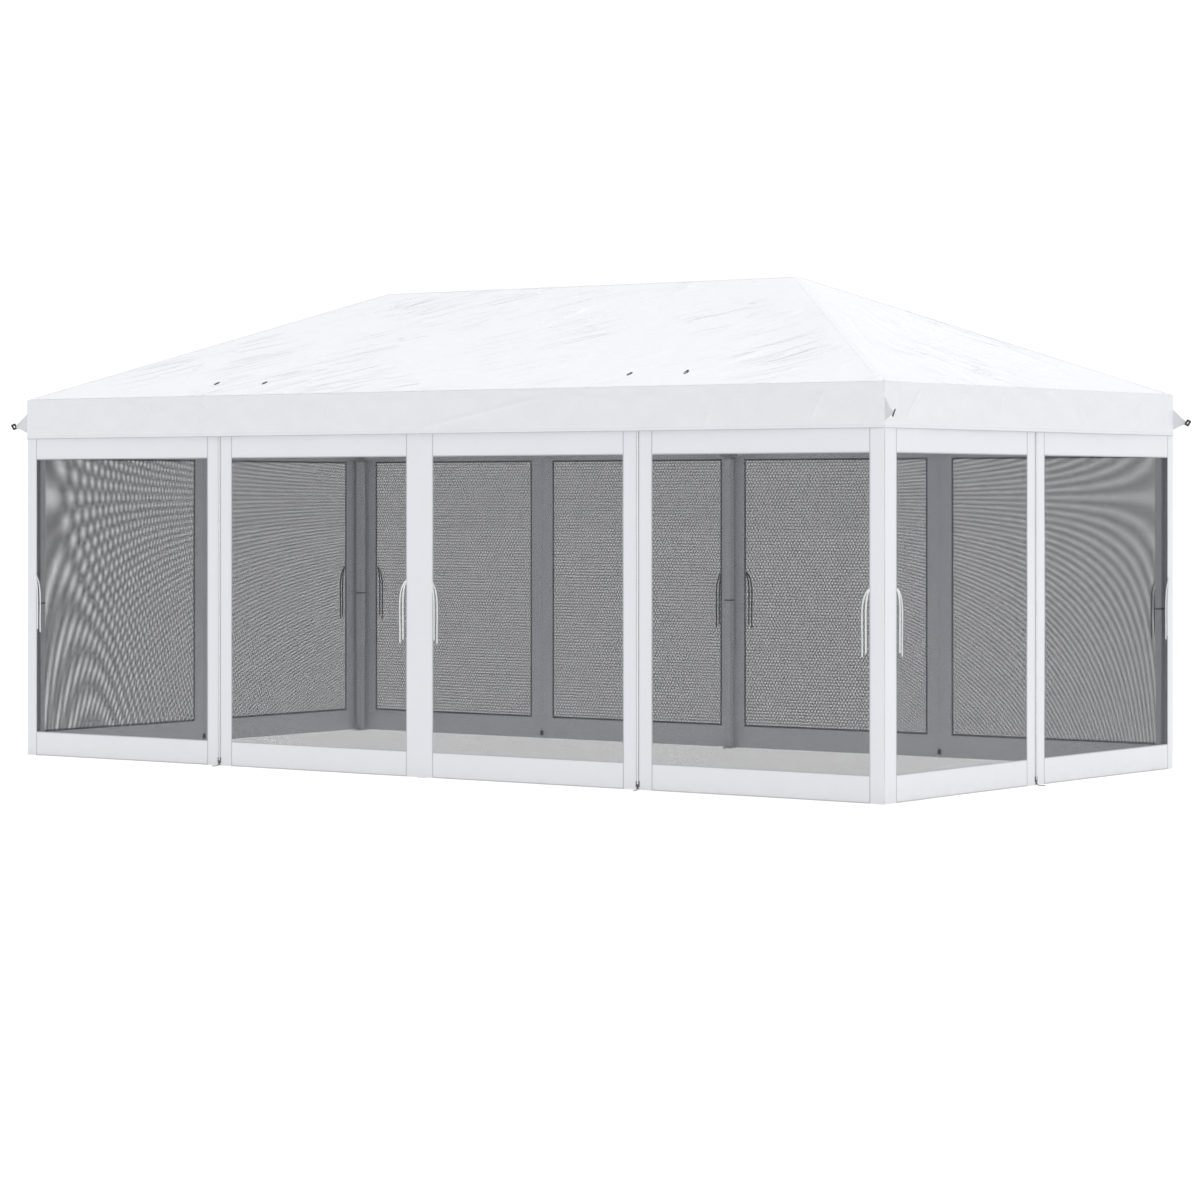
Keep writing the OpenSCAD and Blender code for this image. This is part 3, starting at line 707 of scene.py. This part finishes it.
def roof_rise(x, y):
    """How far the cloth stands off its plain slope, along the slope's normal."""
    ax, ay = np.abs(x), np.abs(y)
    past = ax - PEAK_X
    on_end = past > ay
    down = np.where(on_end, past, ay)
    hip = np.abs(past - ay) / math.sqrt(2)
    hip = np.where(past < -0.5, 1.0, hip)
    edge = np.minimum(np.minimum(EAVE_Y - down, hip), np.where(on_end, 1.0, ay))
    held = smooth(0.0, 0.10, edge)
    sag = -0.020 * np.sin(math.pi * np.clip(down / EAVE_Y, 0, 1)) * smooth(0.0, 0.5, hip + 0.05)
    back = y > 0
    mirrored = np.where(back, -y, y)
    shifted = np.where(back, x + 7.3, x)
    along = shifted * COS_W + mirrored * SIN_W
    across = -shifted * SIN_W + mirrored * COS_W
    bend = 0.05 * noise(along / 0.55, across / 0.5, 3)
    long_fold = creased(noise(along / 0.95, (across + bend) / 0.15, 5), 0.08)
    fine_fold = creased(noise(along / 0.42, (across + bend) / 0.075, 8), 0.08)
    patch = smooth(-0.25, 0.5, noise(shifted / 0.55, mirrored / 0.45, 13))
    high = smooth(0.15, 1.1, EAVE_Y - down)
    long_slope = (
        0.0064 * (long_fold - 0.3) * (0.25 + 0.75 * patch)
        + 0.0034 * (fine_fold - 0.3) * patch * (0.3 + 0.7 * high)
        + 0.0038 * noise(along / 0.8, across / 0.28, 21)
    )
    turn = np.arctan2(y, np.maximum(past, 1e-6))
    reach = np.hypot(y, past)
    side = np.where(x > 0, 0.0, 5.7)
    fan = creased(noise(turn / 0.17 + side, reach / 1.1, 34), 0.12)
    thin_fan = creased(noise(turn / 0.085 + side, reach / 0.7, 55), 0.10)
    end_slope = (
        0.0048 * (fan - 0.3) * smooth(0.1, 0.7, reach)
        + 0.0030 * (thin_fan - 0.3) * smooth(0.2, 0.8, reach)
        + 0.0034 * noise(turn / 0.3 + side, reach / 0.6, 61)
    )
    crumple = 0.0009 * noise(x / 0.075, y / 0.075, 89) + 0.0011 * noise(x / 0.16, y / 0.16, 97)
    return sag + held * (np.where(on_end, end_slope, long_slope) + crumple)


def roof_point(x, y):
    x, y = np.broadcast_arrays(np.asarray(x, float), np.asarray(y, float))
    ax, ay = np.abs(x), np.abs(y)
    past = ax - PEAK_X
    on_end = past > ay
    soft_y = np.sqrt(ay * ay + 0.012**2) - 0.004
    gap = past - ay
    down = np.where(on_end, past, soft_y) + 0.006 * np.exp(-np.abs(gap) / 0.02) * (past > 0)
    down = np.minimum(down, EAVE_Y)
    rise = roof_rise(x, y)
    tilt = rise * SLOPE_COS
    lean = rise * PITCH * SLOPE_COS
    p = np.stack([x, y, RIDGE_Z - PITCH * down + tilt], -1)
    p[..., 0] += np.where(on_end, np.sign(x) * lean, 0)
    p[..., 1] += np.where(on_end, 0, np.sign(y) * lean)
    return p


def roof_plan(half, a, t):
    """Plan position a along the eave from the leg axis, and t up the slope: eave 0, top 1."""
    top = np.where(half.corner, np.clip((a + VALANCE_OUT) / (HALF_BAY + VALANCE_OUT), 0, 1), 1.0)
    inward = VALANCE_OUT - EAVE_Y * t * top
    p = half.at(a, inward, 0.0)
    return p[..., 0], p[..., 1]


def roof_fold(half):
    """Settings for how a half's slope would gather towards its eave as the frame folds."""
    return {
        "axis": (half.out[0] * SLOPE_COS, half.out[1] * SLOPE_COS, -PITCH * SLOPE_COS),
        "anchor": tuple(half.at(HALF_BAY / 2, VALANCE_OUT, EAVE_Z)),
        "keep": FOLDED_ROOF,
    }


def make_roof(half):
    low_a = -VALANCE_OUT if half.corner else 0.0
    a = spread((low_a, 0.0136), (HALF_BAY, 1))
    t = spread((0.0, 0.0086), (1.0, 1))
    grid_a, grid_t = np.meshgrid(a, t, indexing="ij")
    if half.corner:
        grid_a[0, :] = low_a
    x, y = roof_plan(half, grid_a, grid_t)
    points = roof_point(x, y)
    inner = 0.0015
    safe_x = x - half.out[0] * inner
    safe_y = y - half.out[1] * inner
    normals = facing(normals_of(roof_point, safe_x, safe_y), (0, 0, 1))
    uv = np.stack([grid_a, np.hypot(x - x[:, :1], y - y[:, :1]) / SLOPE_COS], -1)
    keep = np.ones((len(a) - 1, len(t) - 1), bool)
    if half.corner:
        keep[0, :] = False
    sheet = cloth("roof_" + half.name, [(points, normals, uv, keep)], CANOPY)

    def strip(name, line_a, line_t, inset_a, inset_t):
        """A binding tape from a line on the slope to a line beside it."""
        outer = roof_plan(half, line_a, line_t)
        inner_line = roof_plan(half, inset_a, inset_t)
        share = np.linspace(0, 1, 4)[None, :]
        sx = outer[0][:, None] * (1 - share) + inner_line[0][:, None] * share
        sy = outer[1][:, None] * (1 - share) + inner_line[1][:, None] * share
        n = facing(normals_of(roof_point, sx - half.out[0] * inner, sy - half.out[1] * inner), (0, 0, 1))
        lift = CLOTH_T / 2 + TAPE_T / 2 + 0.0002
        p = roof_point(sx, sy) + n * lift
        length = np.concatenate([[0], np.cumsum(np.linalg.norm(np.diff(p[:, 0], axis=0), axis=1))])
        tape_uv = np.stack(np.broadcast_arrays(length[:, None], share * TAPE_WIDTH), -1)
        tape = cloth(name, [(p, n, tape_uv, None)], CANOPY, TAPE_T)
        sewn = [p[:, 2] + n[:, 2] * TAPE_T / 2]
        return tape, sewn, float(length[-1])

    count = 110
    if half.corner:
        line_a = np.linspace(low_a + 0.03, HALF_BAY, count)
        name, top_t = "hip_tape_", np.ones(count)
        inset_t = 1 - TAPE_WIDTH * math.sqrt(2) / np.maximum(line_a + VALANCE_OUT, 0.03)
    else:
        line_a = np.linspace(0, HALF_BAY, count)
        name, top_t = "ridge_tape_", np.ones(count)
        inset_t = np.full(count, 1 - TAPE_WIDTH / EAVE_Y)
    top_tape, top_sewn, top_length = strip(name + half.name, line_a, top_t, line_a, inset_t)
    line_a = np.linspace(low_a + 0.02, HALF_BAY, count)
    hip_t = np.clip(EAVE_TAPE / np.maximum(line_a + VALANCE_OUT, EAVE_TAPE), 0, 1)
    reach_t = np.where(half.corner, hip_t, EAVE_TAPE / EAVE_Y)
    name = "eave_tape_" + half.name
    eave_tape, eave_sewn, eave_length = strip(name, line_a, reach_t * 0.02, line_a, reach_t)
    thread = stitches("roof_stitches_" + half.name, top_sewn + eave_sewn)
    carry((sheet, thread, top_tape, eave_tape), half.bar_body, "canopy_fabric", "canopy", **roof_fold(half))


# ---------------------------------------------------------------- valance

# creases of a valance half: from, to (along the bay, above the lower edge), width
VALANCE_CREASES = {
    "front_left_start": [((0.62, 0.22), (0.66, 0.05), 0.006)],
    "front_left_end": [((0.80, 0.0), (0.79, 0.23), 0.006), ((0.93, 0.23), (0.94, 0.0), 0.007)],
    "front_right_start": [((-0.05, 0.02), (0.92, 0.20), 0.010)],
    "front_right_end": [((0.30, 0.20), (0.38, 0.03), 0.006), ((0.95, 0.22), (1.02, 0.0), 0.007)],
    "right_start": [
        ((0.30, 0.22), (0.12, 0.04), 0.007),
        ((0.34, 0.23), (0.37, 0.0), 0.006),
        ((0.70, 0.22), (0.62, 0.02), 0.008),
        ((1.10, 0.22), (1.02, 0.05), 0.007),
    ],
    "right_end": [((0.30, 0.21), (0.42, 0.03), 0.008), ((1.0, 0.22), (0.92, 0.02), 0.007)],
}


def valance_shape(half):
    creases = VALANCE_CREASES.get(half.name, [((0.5, 0.03), (0.9, 0.2), 0.009)])
    normal_seed = 100 + list(BAYS).index(half.bay)

    def shape(a, h):
        """A point of the valance a along and h above its lower edge."""
        # distances along the whole bay, so that both halves meet
        whole = np.where(half.side == "start", a, 2 * HALF_BAY - a)
        loose = smooth(0.0, 0.05, VALANCE_DEPTH - h)
        corner_hold = smooth(0.0, 0.12, a + VALANCE_OUT) if half.corner else 1.0
        low = 1 - np.clip(h / VALANCE_DEPTH, 0, 1)
        wave = low * (0.0075 + 0.0055 * noise(whole / 0.36, h / 0.6, normal_seed))
        mottle = 0.0033 * noise(whole / 0.10, h / 0.13, normal_seed + 7)
        hem = 0.0010 * smooth(0.030, 0.026, h) - 0.0018 * np.exp(-(((h - HEM) / 0.003) ** 2))
        lines = sum(line_crease(a, h, p, q, w) for p, q, w in creases) if creases else 0.0
        out = VALANCE_OUT + corner_hold * loose * (wave + mottle + 0.0030 * lines) + hem
        return half.at(a, out, VALANCE_LOW + h)

    return shape


def make_valance(half):
    shape = valance_shape(half)
    low_a = -VALANCE_OUT if half.corner else 0.0
    a = spread((low_a, 0.010), (HALF_BAY, 1))
    h = spread((0.0, 0.0065), (0.026, 0.002), (0.030, 0.010), (VALANCE_DEPTH, 1))
    sheet = panel("valance_" + half.name, shape, a, h, half.out, VALANCE_CLOTH, uv=(1, 3.1 * half.seed, 1))
    line = np.linspace(low_a + 0.004, HALF_BAY - 0.002, 150)
    sewn = []
    for height in (HEM, VALANCE_DEPTH - 0.010):
        sewn_p, sewn_n = patch(shape, line, np.full_like(line, height), half.out)
        sewn.append(sewn_p + sewn_n * CLOTH_T / 2)
    thread = stitches("valance_stitches_" + half.name, sewn)
    # a thin grey strip on the valance's lower edge: painted shadow, for the dark line where the hem stands
    # off the wall below
    edge_a, edge_h = np.meshgrid(line, np.linspace(0.0002, 0.0035, 3), indexing="ij")
    edge_p, edge_n = patch(shape, edge_a, edge_h, half.out)
    edge_grid = (edge_p + edge_n * (CLOTH_T + TAPE_T) / 2, edge_n, np.stack([edge_a, edge_h], -1), None)
    edge = cloth("valance_edge_" + half.name, [edge_grid], GREY_BINDING_AND_SHADOW_LINE, TAPE_T)
    anchor = tuple(half.at(HALF_BAY / 2, VALANCE_OUT, EAVE_Z))
    fold = {"axis": (0, 0, 1), "anchor": anchor, "keep": FOLDED_VALANCE}
    carry((sheet, thread, edge), half.bar_body, "canopy_fabric", "canopy", **fold)


# ---------------------------------------------------------------- walls


def band_width(half):
    return HALF_BANDS.get(half.name, LEG_BAND)


def corner_out(half, a):
    """How far the wall stands outside the leg axes, where a corner holds it out."""
    return NETTING_OUT + (CORNER_FLARE * (1 - smooth(0.0, 0.9, a)) if half.corner else 0.0)


def wall_shape(half, lift=0.0, cloth_creases=True):
    def shape(a, z):
        """A point of the wall a along and z up, lift outside its net."""
        free = smooth(0.0, 0.35, a) * smooth(0.0, 0.12, HALF_BAY - a)
        whole = np.where(half.side == "start", a, 2 * HALF_BAY - a)
        billow = 0.005 * free * noise(whole / 0.9 + 3, z / 1.1, 200 + list(BAYS).index(half.bay))
        creases = 0.0
        if cloth_creases:
            slack = smooth(WINDOW_LOW, 0.0, z) * smooth(0.0, 0.10, HALF_BAY - a)
            creases = 0.0036 * slack * noise(whole / 0.17, z / 0.35, 230 + half.seed)
            fine = noise(a / 0.05, z / 0.30, 260 + half.seed)
            creases = creases + 0.0006 * fine * smooth(0.0, 0.02, HALF_BAY - a)
        return half.at(a, corner_out(half, a) + billow + creases + lift, z)

    return shape


def make_wall(half):
    low_a = -corner_out(half, 0.0) if half.corner else 0.0
    high_a = HALF_BAY - ZIP_GAP
    band_a, zip_a = band_width(half), HALF_BAY - ZIP_BAND
    top = NET_HIGH.z
    shape = wall_shape(half, BAND_LIFT)
    a = spread((low_a, 0.010), (band_a, 0.014), (zip_a, 0.010), (high_a, 1))
    z = spread((WALL_FOOT, 0.012), (WINDOW_LOW, 0.016), (WINDOW_HIGH, 0.014), (top, 1))
    centre_a, centre_z = (a[1:] + a[:-1]) / 2, (z[1:] + z[:-1]) / 2
    in_a = (centre_a > band_a) & (centre_a < zip_a)
    in_z = (centre_z > WINDOW_LOW) & (centre_z < WINDOW_HIGH)
    keep = ~(in_a[:, None] & in_z[None, :])
    uv = (1, 2.3 * half.seed, 1)
    bands = panel("wall_bands_" + half.name, shape, a, z, half.out, BAND, BAND_T, uv, keep, BAND_INSIDE_SHADE)

    net_shape = wall_shape(half, 0.0, False)
    net_a = spread((band_a - NET_OVERLAP, 0.030), (zip_a + NET_OVERLAP, 1))
    net_z = spread((WINDOW_LOW - NET_OVERLAP, 0.030), (WINDOW_HIGH + NET_OVERLAP, 1))
    uv = (half.along.sum(), 0, 1)
    net = panel("wall_net_" + half.name, net_shape, net_a, net_z, half.out, NETTING, 0.0, uv)

    def on_band(line_a, line_z):
        p, n = patch(shape, line_a, line_z, half.out)
        return p + n * 0.0007

    run = np.linspace(0, 1, 90)
    edge = 0.006
    left, right = band_a - edge, zip_a + edge
    low, high = WINDOW_LOW - edge, WINDOW_HIGH + edge
    lines = [
        on_band(left + (right - left) * run, low),
        on_band(left + (right - left) * run, high),
        on_band(left, low + (high - low) * run),
        on_band(right, low + (high - low) * run),
        on_band(low_a + 0.004 + (high_a - 0.008 - low_a) * run, WALL_FOOT + 0.012),
        on_band(high_a - 0.012, WALL_FOOT + 0.012 + (1.86 - WALL_FOOT) * run),
    ]
    thread = stitches("wall_stitches_" + half.name, lines)

    def edging(line_a, line_z, wide_a, wide_z):
        """A strip of binding from a line to a line beside it."""
        share = np.linspace(0, 1, 4)[None, :]
        line_a, line_z = np.broadcast_arrays(line_a, line_z)
        strip_a = line_a[:, None] + wide_a * share
        strip_z = line_z[:, None] + wide_z * share
        p, n = patch(shape, strip_a, strip_z, half.out)
        bulge = 0.0009 + 0.0008 * np.sin(math.pi * share)
        return p + n * bulge[..., None], n, np.stack([strip_a, strip_z], -1), None

    whole = WALL_FOOT + 0.002 + (top - 0.02 - WALL_FOOT) * run
    binding = cloth(
        "wall_binding_" + half.name,
        [
            edging(band_a - BINDING, whole, BINDING, 0),
            edging(zip_a, whole, BINDING, 0),
            edging(band_a + (zip_a - band_a) * run, WALL_FOOT + 0.001, 0, BINDING),
            edging(band_a + (zip_a - band_a) * run, WINDOW_LOW - BINDING, 0, BINDING),
            edging(band_a + (zip_a - band_a) * run, WINDOW_HIGH, 0, BINDING),
        ],
        GREY_BINDING_AND_SHADOW_LINE,
        TAPE_T,
    )
    fold = {"axis": tuple(half.along), "anchor": tuple(half.origin), "keep": FOLDED_WALL}
    carry((bands, thread, binding), half.leg_body, "canopy_fabric", "netting", **fold)
    carry((net,), half.leg_body, "netting_fabric", "netting", **fold)


# ---------------------------------------------------------------- zips


ZIP_TOP = 1.90
ZIP_HALF = 0.0095  # half the width of a zip's tape
TOOTH_WIDE = 0.0120
TOOTH_THICK = 0.0026


def make_zip(bay):
    """The tape and teeth of the zip in the middle of a wall, which stay with the bracket there."""
    half = Half(bay, "start")
    a = HALF_BAY + np.linspace(-ZIP_HALF, ZIP_HALF, 9)
    z = WALL_FOOT + (ZIP_TOP - WALL_FOOT) * np.linspace(0, 1, 120)

    def shape(a, h):
        return half.at(a, NETTING_OUT + 0.0026 - 0.0006 * ((a - HALF_BAY) / ZIP_HALF) ** 2, h)

    # the grey tape left showing beside the coil paints the shadowed gaps there
    tape = panel("zip_tape_" + bay, shape, a, z, half.out, ZIP_TAPE_GAP_SHADE, TAPE_T)
    line = half.at(HALF_BAY, NETTING_OUT + 0.0044, z)
    # a tooth's second axis lies along the left and right walls, and points out of the others
    second, third = (TOOTH_WIDE, TOOTH_THICK) if half.out[0] else (TOOTH_THICK, TOOTH_WIDE)
    sizes = {"Pitch": 0.0024, "Length": 0.0034, "Width": second, "Height": third, "Stagger": 0.0016}
    coil = repeat_along("zip_coil_" + bay, [line], TEETH, COIL, **sizes)
    hub = "hub_" + bay
    fold = {"axis": tuple(half.along), "anchor": tuple(half.at(HALF_BAY, 0, 0)), "keep": 0.25}
    carry((tape,), hub, "canopy_fabric", "netting", **fold)
    carry((coil,), hub, "canopy_fabric", "netting")


# ---------------------------------------------------------------- tie-backs


STRANDS = 3


def tube(name, path, radius_at, around, material, twist_pitch, strand_depth):
    """A closed tube along a path, with twisted strands."""
    path = np.asarray(path, float)
    tangent = np.gradient(path, axis=0)
    tangent /= np.linalg.norm(tangent, axis=1, keepdims=True)
    side = np.cross(tangent, (0.31, 0.77, 0.12))
    side /= np.linalg.norm(side, axis=1, keepdims=True)
    other = np.cross(tangent, side)
    run = np.concatenate([[0], np.cumsum(np.linalg.norm(np.diff(path, axis=0), axis=1))])
    points = []
    for i, p in enumerate(path):
        turn = np.arange(around) / around * 2 * math.pi
        twist = 2 * math.pi * run[i] / twist_pitch
        strands = np.abs(np.cos(STRANDS * (turn - twist) / 2))
        r = radius_at[i] * (1 - strand_depth + strand_depth * strands)
        ring = p + r[:, None] * (np.cos(turn)[:, None] * side[i] + np.sin(turn)[:, None] * other[i])
        points += ring.tolist()
    faces = []
    for i in range(len(path) - 1):
        for j in range(around):
            k = (j + 1) % around
            faces.append((i * around + j, i * around + k, (i + 1) * around + k, (i + 1) * around + j))
    start, end = len(points), len(points) + 1
    points += [tuple(path[0]), tuple(path[-1])]
    last = (len(path) - 1) * around
    faces += [(start, (j + 1) % around, j) for j in range(around)]
    faces += [(end, last + j, last + (j + 1) % around) for j in range(around)]
    return link(name, points, faces, material)


def smooth_path(stops, count):
    """Catmull-Rom through the stops, evenly spaced."""
    p = np.array(stops, float)
    p = np.concatenate([[2 * p[0] - p[1]], p, [2 * p[-1] - p[-2]]])
    fine = []
    for i in range(1, len(p) - 2):
        a, b, c, d = p[i - 1 : i + 3]
        bend, twist = 2 * a - 5 * b + 4 * c - d, 3 * b - a - 3 * c + d
        for t in np.linspace(0, 1, 40, endpoint=False):
            fine.append(0.5 * (2 * b + (c - a) * t + bend * t**2 + twist * t**3))
    fine = np.array(fine + [p[-2]])
    run = np.concatenate([[0], np.cumsum(np.linalg.norm(np.diff(fine, axis=0), axis=1))])
    even = np.linspace(0, run[-1], count)
    return np.stack([np.interp(even, run, fine[:, k]) for k in range(3)], -1), float(run[-1])


# walls whose ties get the dark cord as painted shade, since these ties are seen from their shaded side
SHADED_SIDE_TIES = ("left", "back_left", "back_right")
# a tie's shape: share of its reach, how far it stands off the wall, and how far below its top
TIE_STOPS = ((0.30, 0, 0.016), (0.72, 0.001, 0.048), (0.97, 0.001, 0.098), (1.02, 0, 0.180), (0.98, 0, 0.260))
TIES = ((0.040, 0.338, 0.0), (0.019, 0.314, 0.006))  # reach, fall, and how far below TIE_HIGH it starts


def make_ties(half):
    """Two cords sewn in at the edge of the leg band, which hang ready to hold the opened wall."""
    band_a = band_width(half)
    skin = corner_out(half, band_a) + 0.0025
    cord = SHADED_CORD if half.bay in SHADED_SIDE_TIES else CORD
    out = skin + TIE_DIAMETER / 2 + 0.004
    a0 = band_a - 0.004
    for number, (reach, fall, drop) in enumerate(TIES):
        z0 = TIE_HIGH - drop
        stops = [half.at(a0, skin + 0.002, z0)]
        stops += [half.at(a0 + share * reach, out + off, z0 - low) for share, off, low in TIE_STOPS]
        stops.append(half.at(a0 + reach, out, z0 - fall))
        path, length = smooth_path(stops, 110)
        share = np.linspace(0, 1, len(path))
        ends = (0.86 + 0.14 * smooth(0, 0.03, share)) * (1 - 0.25 * smooth(0.985, 1.0, share))
        radius = TIE_DIAMETER / 2 * ends
        name = "tie_%s_%d" % (half.name, number + 1)
        tie = tube(name, path, radius, 12, cord, twist_pitch=0.026, strand_depth=0.22)
        fold = {"axis": tuple(half.along), "anchor": tuple(half.origin), "keep": 0.45}
        carry((tie,), half.leg_body, "canopy_fabric", **fold)


# ---------------------------------------------------------------- small parts


def settle(made):
    """Applies a piece's modifiers, and turns its faces outward."""
    shown = bpy.context.evaluated_depsgraph_get()
    mesh = bpy.data.meshes.new_from_object(made.evaluated_get(shown))
    made.modifiers.clear()
    made.data = mesh
    work = bmesh.new()
    work.from_mesh(mesh)
    bmesh.ops.recalc_face_normals(work, faces=work.faces)
    work.to_mesh(mesh)
    work.free()
    return made


def rounded_plate(outline, hole, thickness, name, material, to_world):
    """A flat plate with a hole: outline and hole are loops with the same number of points."""
    count = len(outline)
    points, faces = [], []
    for level in (-thickness / 2, thickness / 2):
        points += [to_world(u, v, level) for u, v in outline]
        points += [to_world(u, v, level) for u, v in hole]
    for i in range(count):
        j = (i + 1) % count
        faces.append((i, j, count + j, count + i))
        faces.append((2 * count + j, 2 * count + i, 3 * count + i, 3 * count + j))
        faces.append((j, i, 2 * count + i, 2 * count + j))
        faces.append((count + i, count + j, 3 * count + j, 3 * count + i))
    made = link(name, points, faces, material, False)
    bevel = made.modifiers.new("soft edges", "BEVEL")
    bevel.width = thickness * 0.3
    bevel.segments = 2
    bevel.limit_method = "ANGLE"
    return settle(made)


def loop_points(half_long, half_wide, corner, count_per_corner=6):
    """A rectangle with round corners, as a closed loop."""
    points = []
    for k, (sx, sy) in enumerate(((1, 1), (-1, 1), (-1, -1), (1, -1))):
        for i in range(count_per_corner):
            turn = math.pi / 2 * (k + i / (count_per_corner - 1))
            x = sx * (half_long - corner) + corner * math.cos(turn)
            y = sy * (half_wide - corner) + corner * math.sin(turn)
            points.append((x, y))
    return points


GUY_TURN = math.radians(25.4)  # how the tab points, from the long side's direction
RING_TURN = math.radians(57.9)  # how its ring lies
GUY_REACH = 0.066  # length of the tab


def make_guy_loop(leg):
    """A webbing tab at a corner of the valance, drawn to a black ring."""
    x, y = LEGS[leg]
    sx, sy = math.copysign(1, x), math.copysign(1, y)
    outward = np.array([sx * math.cos(GUY_TURN), sy * math.sin(GUY_TURN), 0])
    across = np.array([-sy * math.sin(GUY_TURN), sx * math.cos(GUY_TURN), 0])
    corner = np.array([sx * (EAVE_X + 0.002), sy * (EAVE_Y - 0.001), EAVE_Z - 0.60 * VALANCE_DEPTH])

    def shape(r, s):
        r, s = np.broadcast_arrays(r, s)
        width = 0.046 * np.clip(1 - r, 0, 1) ** 1.15 + 0.010
        drop = 0.016 * r
        p = corner + outward * (GUY_REACH * r - 0.001)[..., None]
        p = p + across * (0.0015 * np.sin(3 * r + 2 * s))[..., None]
        p[..., 2] += width * s - drop
        return p

    run, share = np.linspace(0, 1, 18), np.linspace(-1, 1, 9)
    tab = panel("guy_tab_" + leg, shape, run, share, across, WEBBING, WEBBING_T, (GUY_REACH, 0, 0.05))
    centre = corner + outward * (GUY_REACH + 0.012) + np.array([0, 0, -0.018])
    ring_out = np.array([sx * math.cos(RING_TURN), sy * math.sin(RING_TURN), 0])
    ring_side = np.array([-sy * math.sin(RING_TURN), sx * math.cos(RING_TURN), 0])
    up = np.array([0, 0, 1]) * 0.86 + ring_side * sx * sy * -0.30 + ring_out * 0.42
    up /= np.linalg.norm(up)
    flat = ring_out - up * (ring_out @ up)
    flat /= np.linalg.norm(flat)
    through = np.cross(flat, up)

    def to_world(u, v, w):
        return tuple(centre + flat * u + up * v + through * w)

    outer, hole = loop_points(0.0150, 0.0180, 0.006), loop_points(0.0040, 0.0060, 0.002)
    ring = rounded_plate(outer, hole, 0.007, "guy_ring_" + leg, PLASTIC, to_world)
    fold = {"axis": tuple(outward), "anchor": (x, y, 0.0), "keep": 0.40}
    carry((tab,), "leg_" + leg, "canopy_fabric", "canopy", **fold)
    carry((ring,), "leg_" + leg, "frame_plastic", "canopy", **fold)


EYELET_INSIDE = 0.187  # plan distance from the eave up to the drain eyelets
EYELET_APART = 0.180  # from the middle of the bay


# half length, half width and height above the cloth of the rings that make an eyelet
EYELET_RINGS = (
    (0.024, 0.0112, 0.0006),
    (0.0225, 0.0100, 0.0030),
    (0.018, 0.0072, 0.0038),
    (0.013, 0.0046, 0.0028),
    (0.0115, 0.0040, -0.0020),
    (0.017, 0.0070, -0.0026),
    (0.0225, 0.0100, -0.0020),
)


def make_eyelet(half):
    """A drain eyelet in the roof, on each side of the middle of a long wall's bay."""
    plan = half.at(HALF_BAY - EYELET_APART, VALANCE_OUT - EYELET_INSIDE, 0)
    centre = roof_point(plan[0], plan[1])
    n = facing(normals_of(roof_point, plan[0], plan[1]), (0, 0, 1))
    u = half.along
    v = np.cross(n, u)
    v /= np.linalg.norm(v)
    count = 28
    turns = np.arange(count) / count * 2 * math.pi
    points, faces = [], []
    for long, wide, lift in EYELET_RINGS:
        points += [centre + n * lift + v * long * math.cos(t) + u * wide * math.sin(t) for t in turns]
    for k in range(len(EYELET_RINGS)):
        m = (k + 1) % len(EYELET_RINGS)
        for i in range(count):
            j = (i + 1) % count
            faces.append((k * count + i, k * count + j, m * count + j, m * count + i))
    made = settle(link("eyelet_" + half.name, points, faces, PLASTIC))
    carry((made,), half.bar_body, "frame_plastic", "canopy", **roof_fold(half))


STRAP_LOW = 0.884
STRAP_HIGH = 0.894


def make_strap(leg):
    """A narrow strap round the outer tube, where the wall is held to the leg."""
    x, y = LEGS[leg]
    outline = loop_points(0.0216, 0.0216, 0.003, 4)
    inner = loop_points(0.0203, 0.0203, 0.002, 4)

    def to_world(u, v, w):
        return (x + u, y + v, (STRAP_LOW + STRAP_HIGH) / 2 + w)

    strap = rounded_plate(outline, inner, STRAP_HIGH - STRAP_LOW, "leg_strap_" + leg, STRAP, to_world)
    carry((strap,), "leg_" + leg, "frame_plastic")


def make_pull_tail(bay):
    """The pull cord of a zip, which falls from the slider and rests on the ground."""
    half = Half(bay, "start")
    low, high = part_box("pull_" + bay)
    k = 0 if half.out[0] else 1
    out = max(abs(low[k]), abs(high[k])) - (LEG_X, LEG_Y)[k]
    radius = 0.0022
    stops = [
        half.at(HALF_BAY + along, out + past, z)
        for along, past, z in (
            (0, -0.0005, low.z + 0.006),
            (0.001, 0.0035, low.z + 0.001),
            (0.003, 0.008, 0.0042),
            (0.007, 0.020, radius + 0.0004),
            (0.010, 0.034, radius + 0.0003),
            (0.009, 0.046, radius + 0.0003),
        )
    ]
    path, length = smooth_path(stops, 60)
    share = np.linspace(0, 1, len(path))
    radii = radius * (1 + 0.25 * smooth(0.90, 0.95, share) - 0.45 * smooth(0.97, 1.0, share))
    tail = tube("pull_tail_" + bay, path, radii, 10, PLASTIC, twist_pitch=0.012, strand_depth=0.15)
    carry((tail,), "pull_" + bay, "frame_plastic")


# ---------------------------------------------------------------- everything

for half in HALVES:
    make_ties(half)
for bay in BAYS:
    make_pull_tail(bay)
for half in HALVES:
    make_roof(half)
    make_valance(half)
    make_wall(half)
    if half.bay not in ("left", "right"):
        make_eyelet(half)
for bay in BAYS:
    make_zip(bay)
for leg in LEGS:
    make_strap(leg)
    if not leg.endswith("mid"):
        make_guy_loop(leg)

finishes = {
    "leg": STEEL,
    "bar": STEEL,
    "rafter": STEEL,
    "foot": STEEL,
    "slider": GREY_PLASTIC,
    "hub": GREY_PLASTIC,
    "pull": PLASTIC,
}
for name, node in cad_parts.items():
    finish = finishes.get(name.split("_")[0])
    if finish:
        if not node.data.materials:
            node.data.materials.append(finish)
        for slot in node.material_slots:
            slot.material = finish
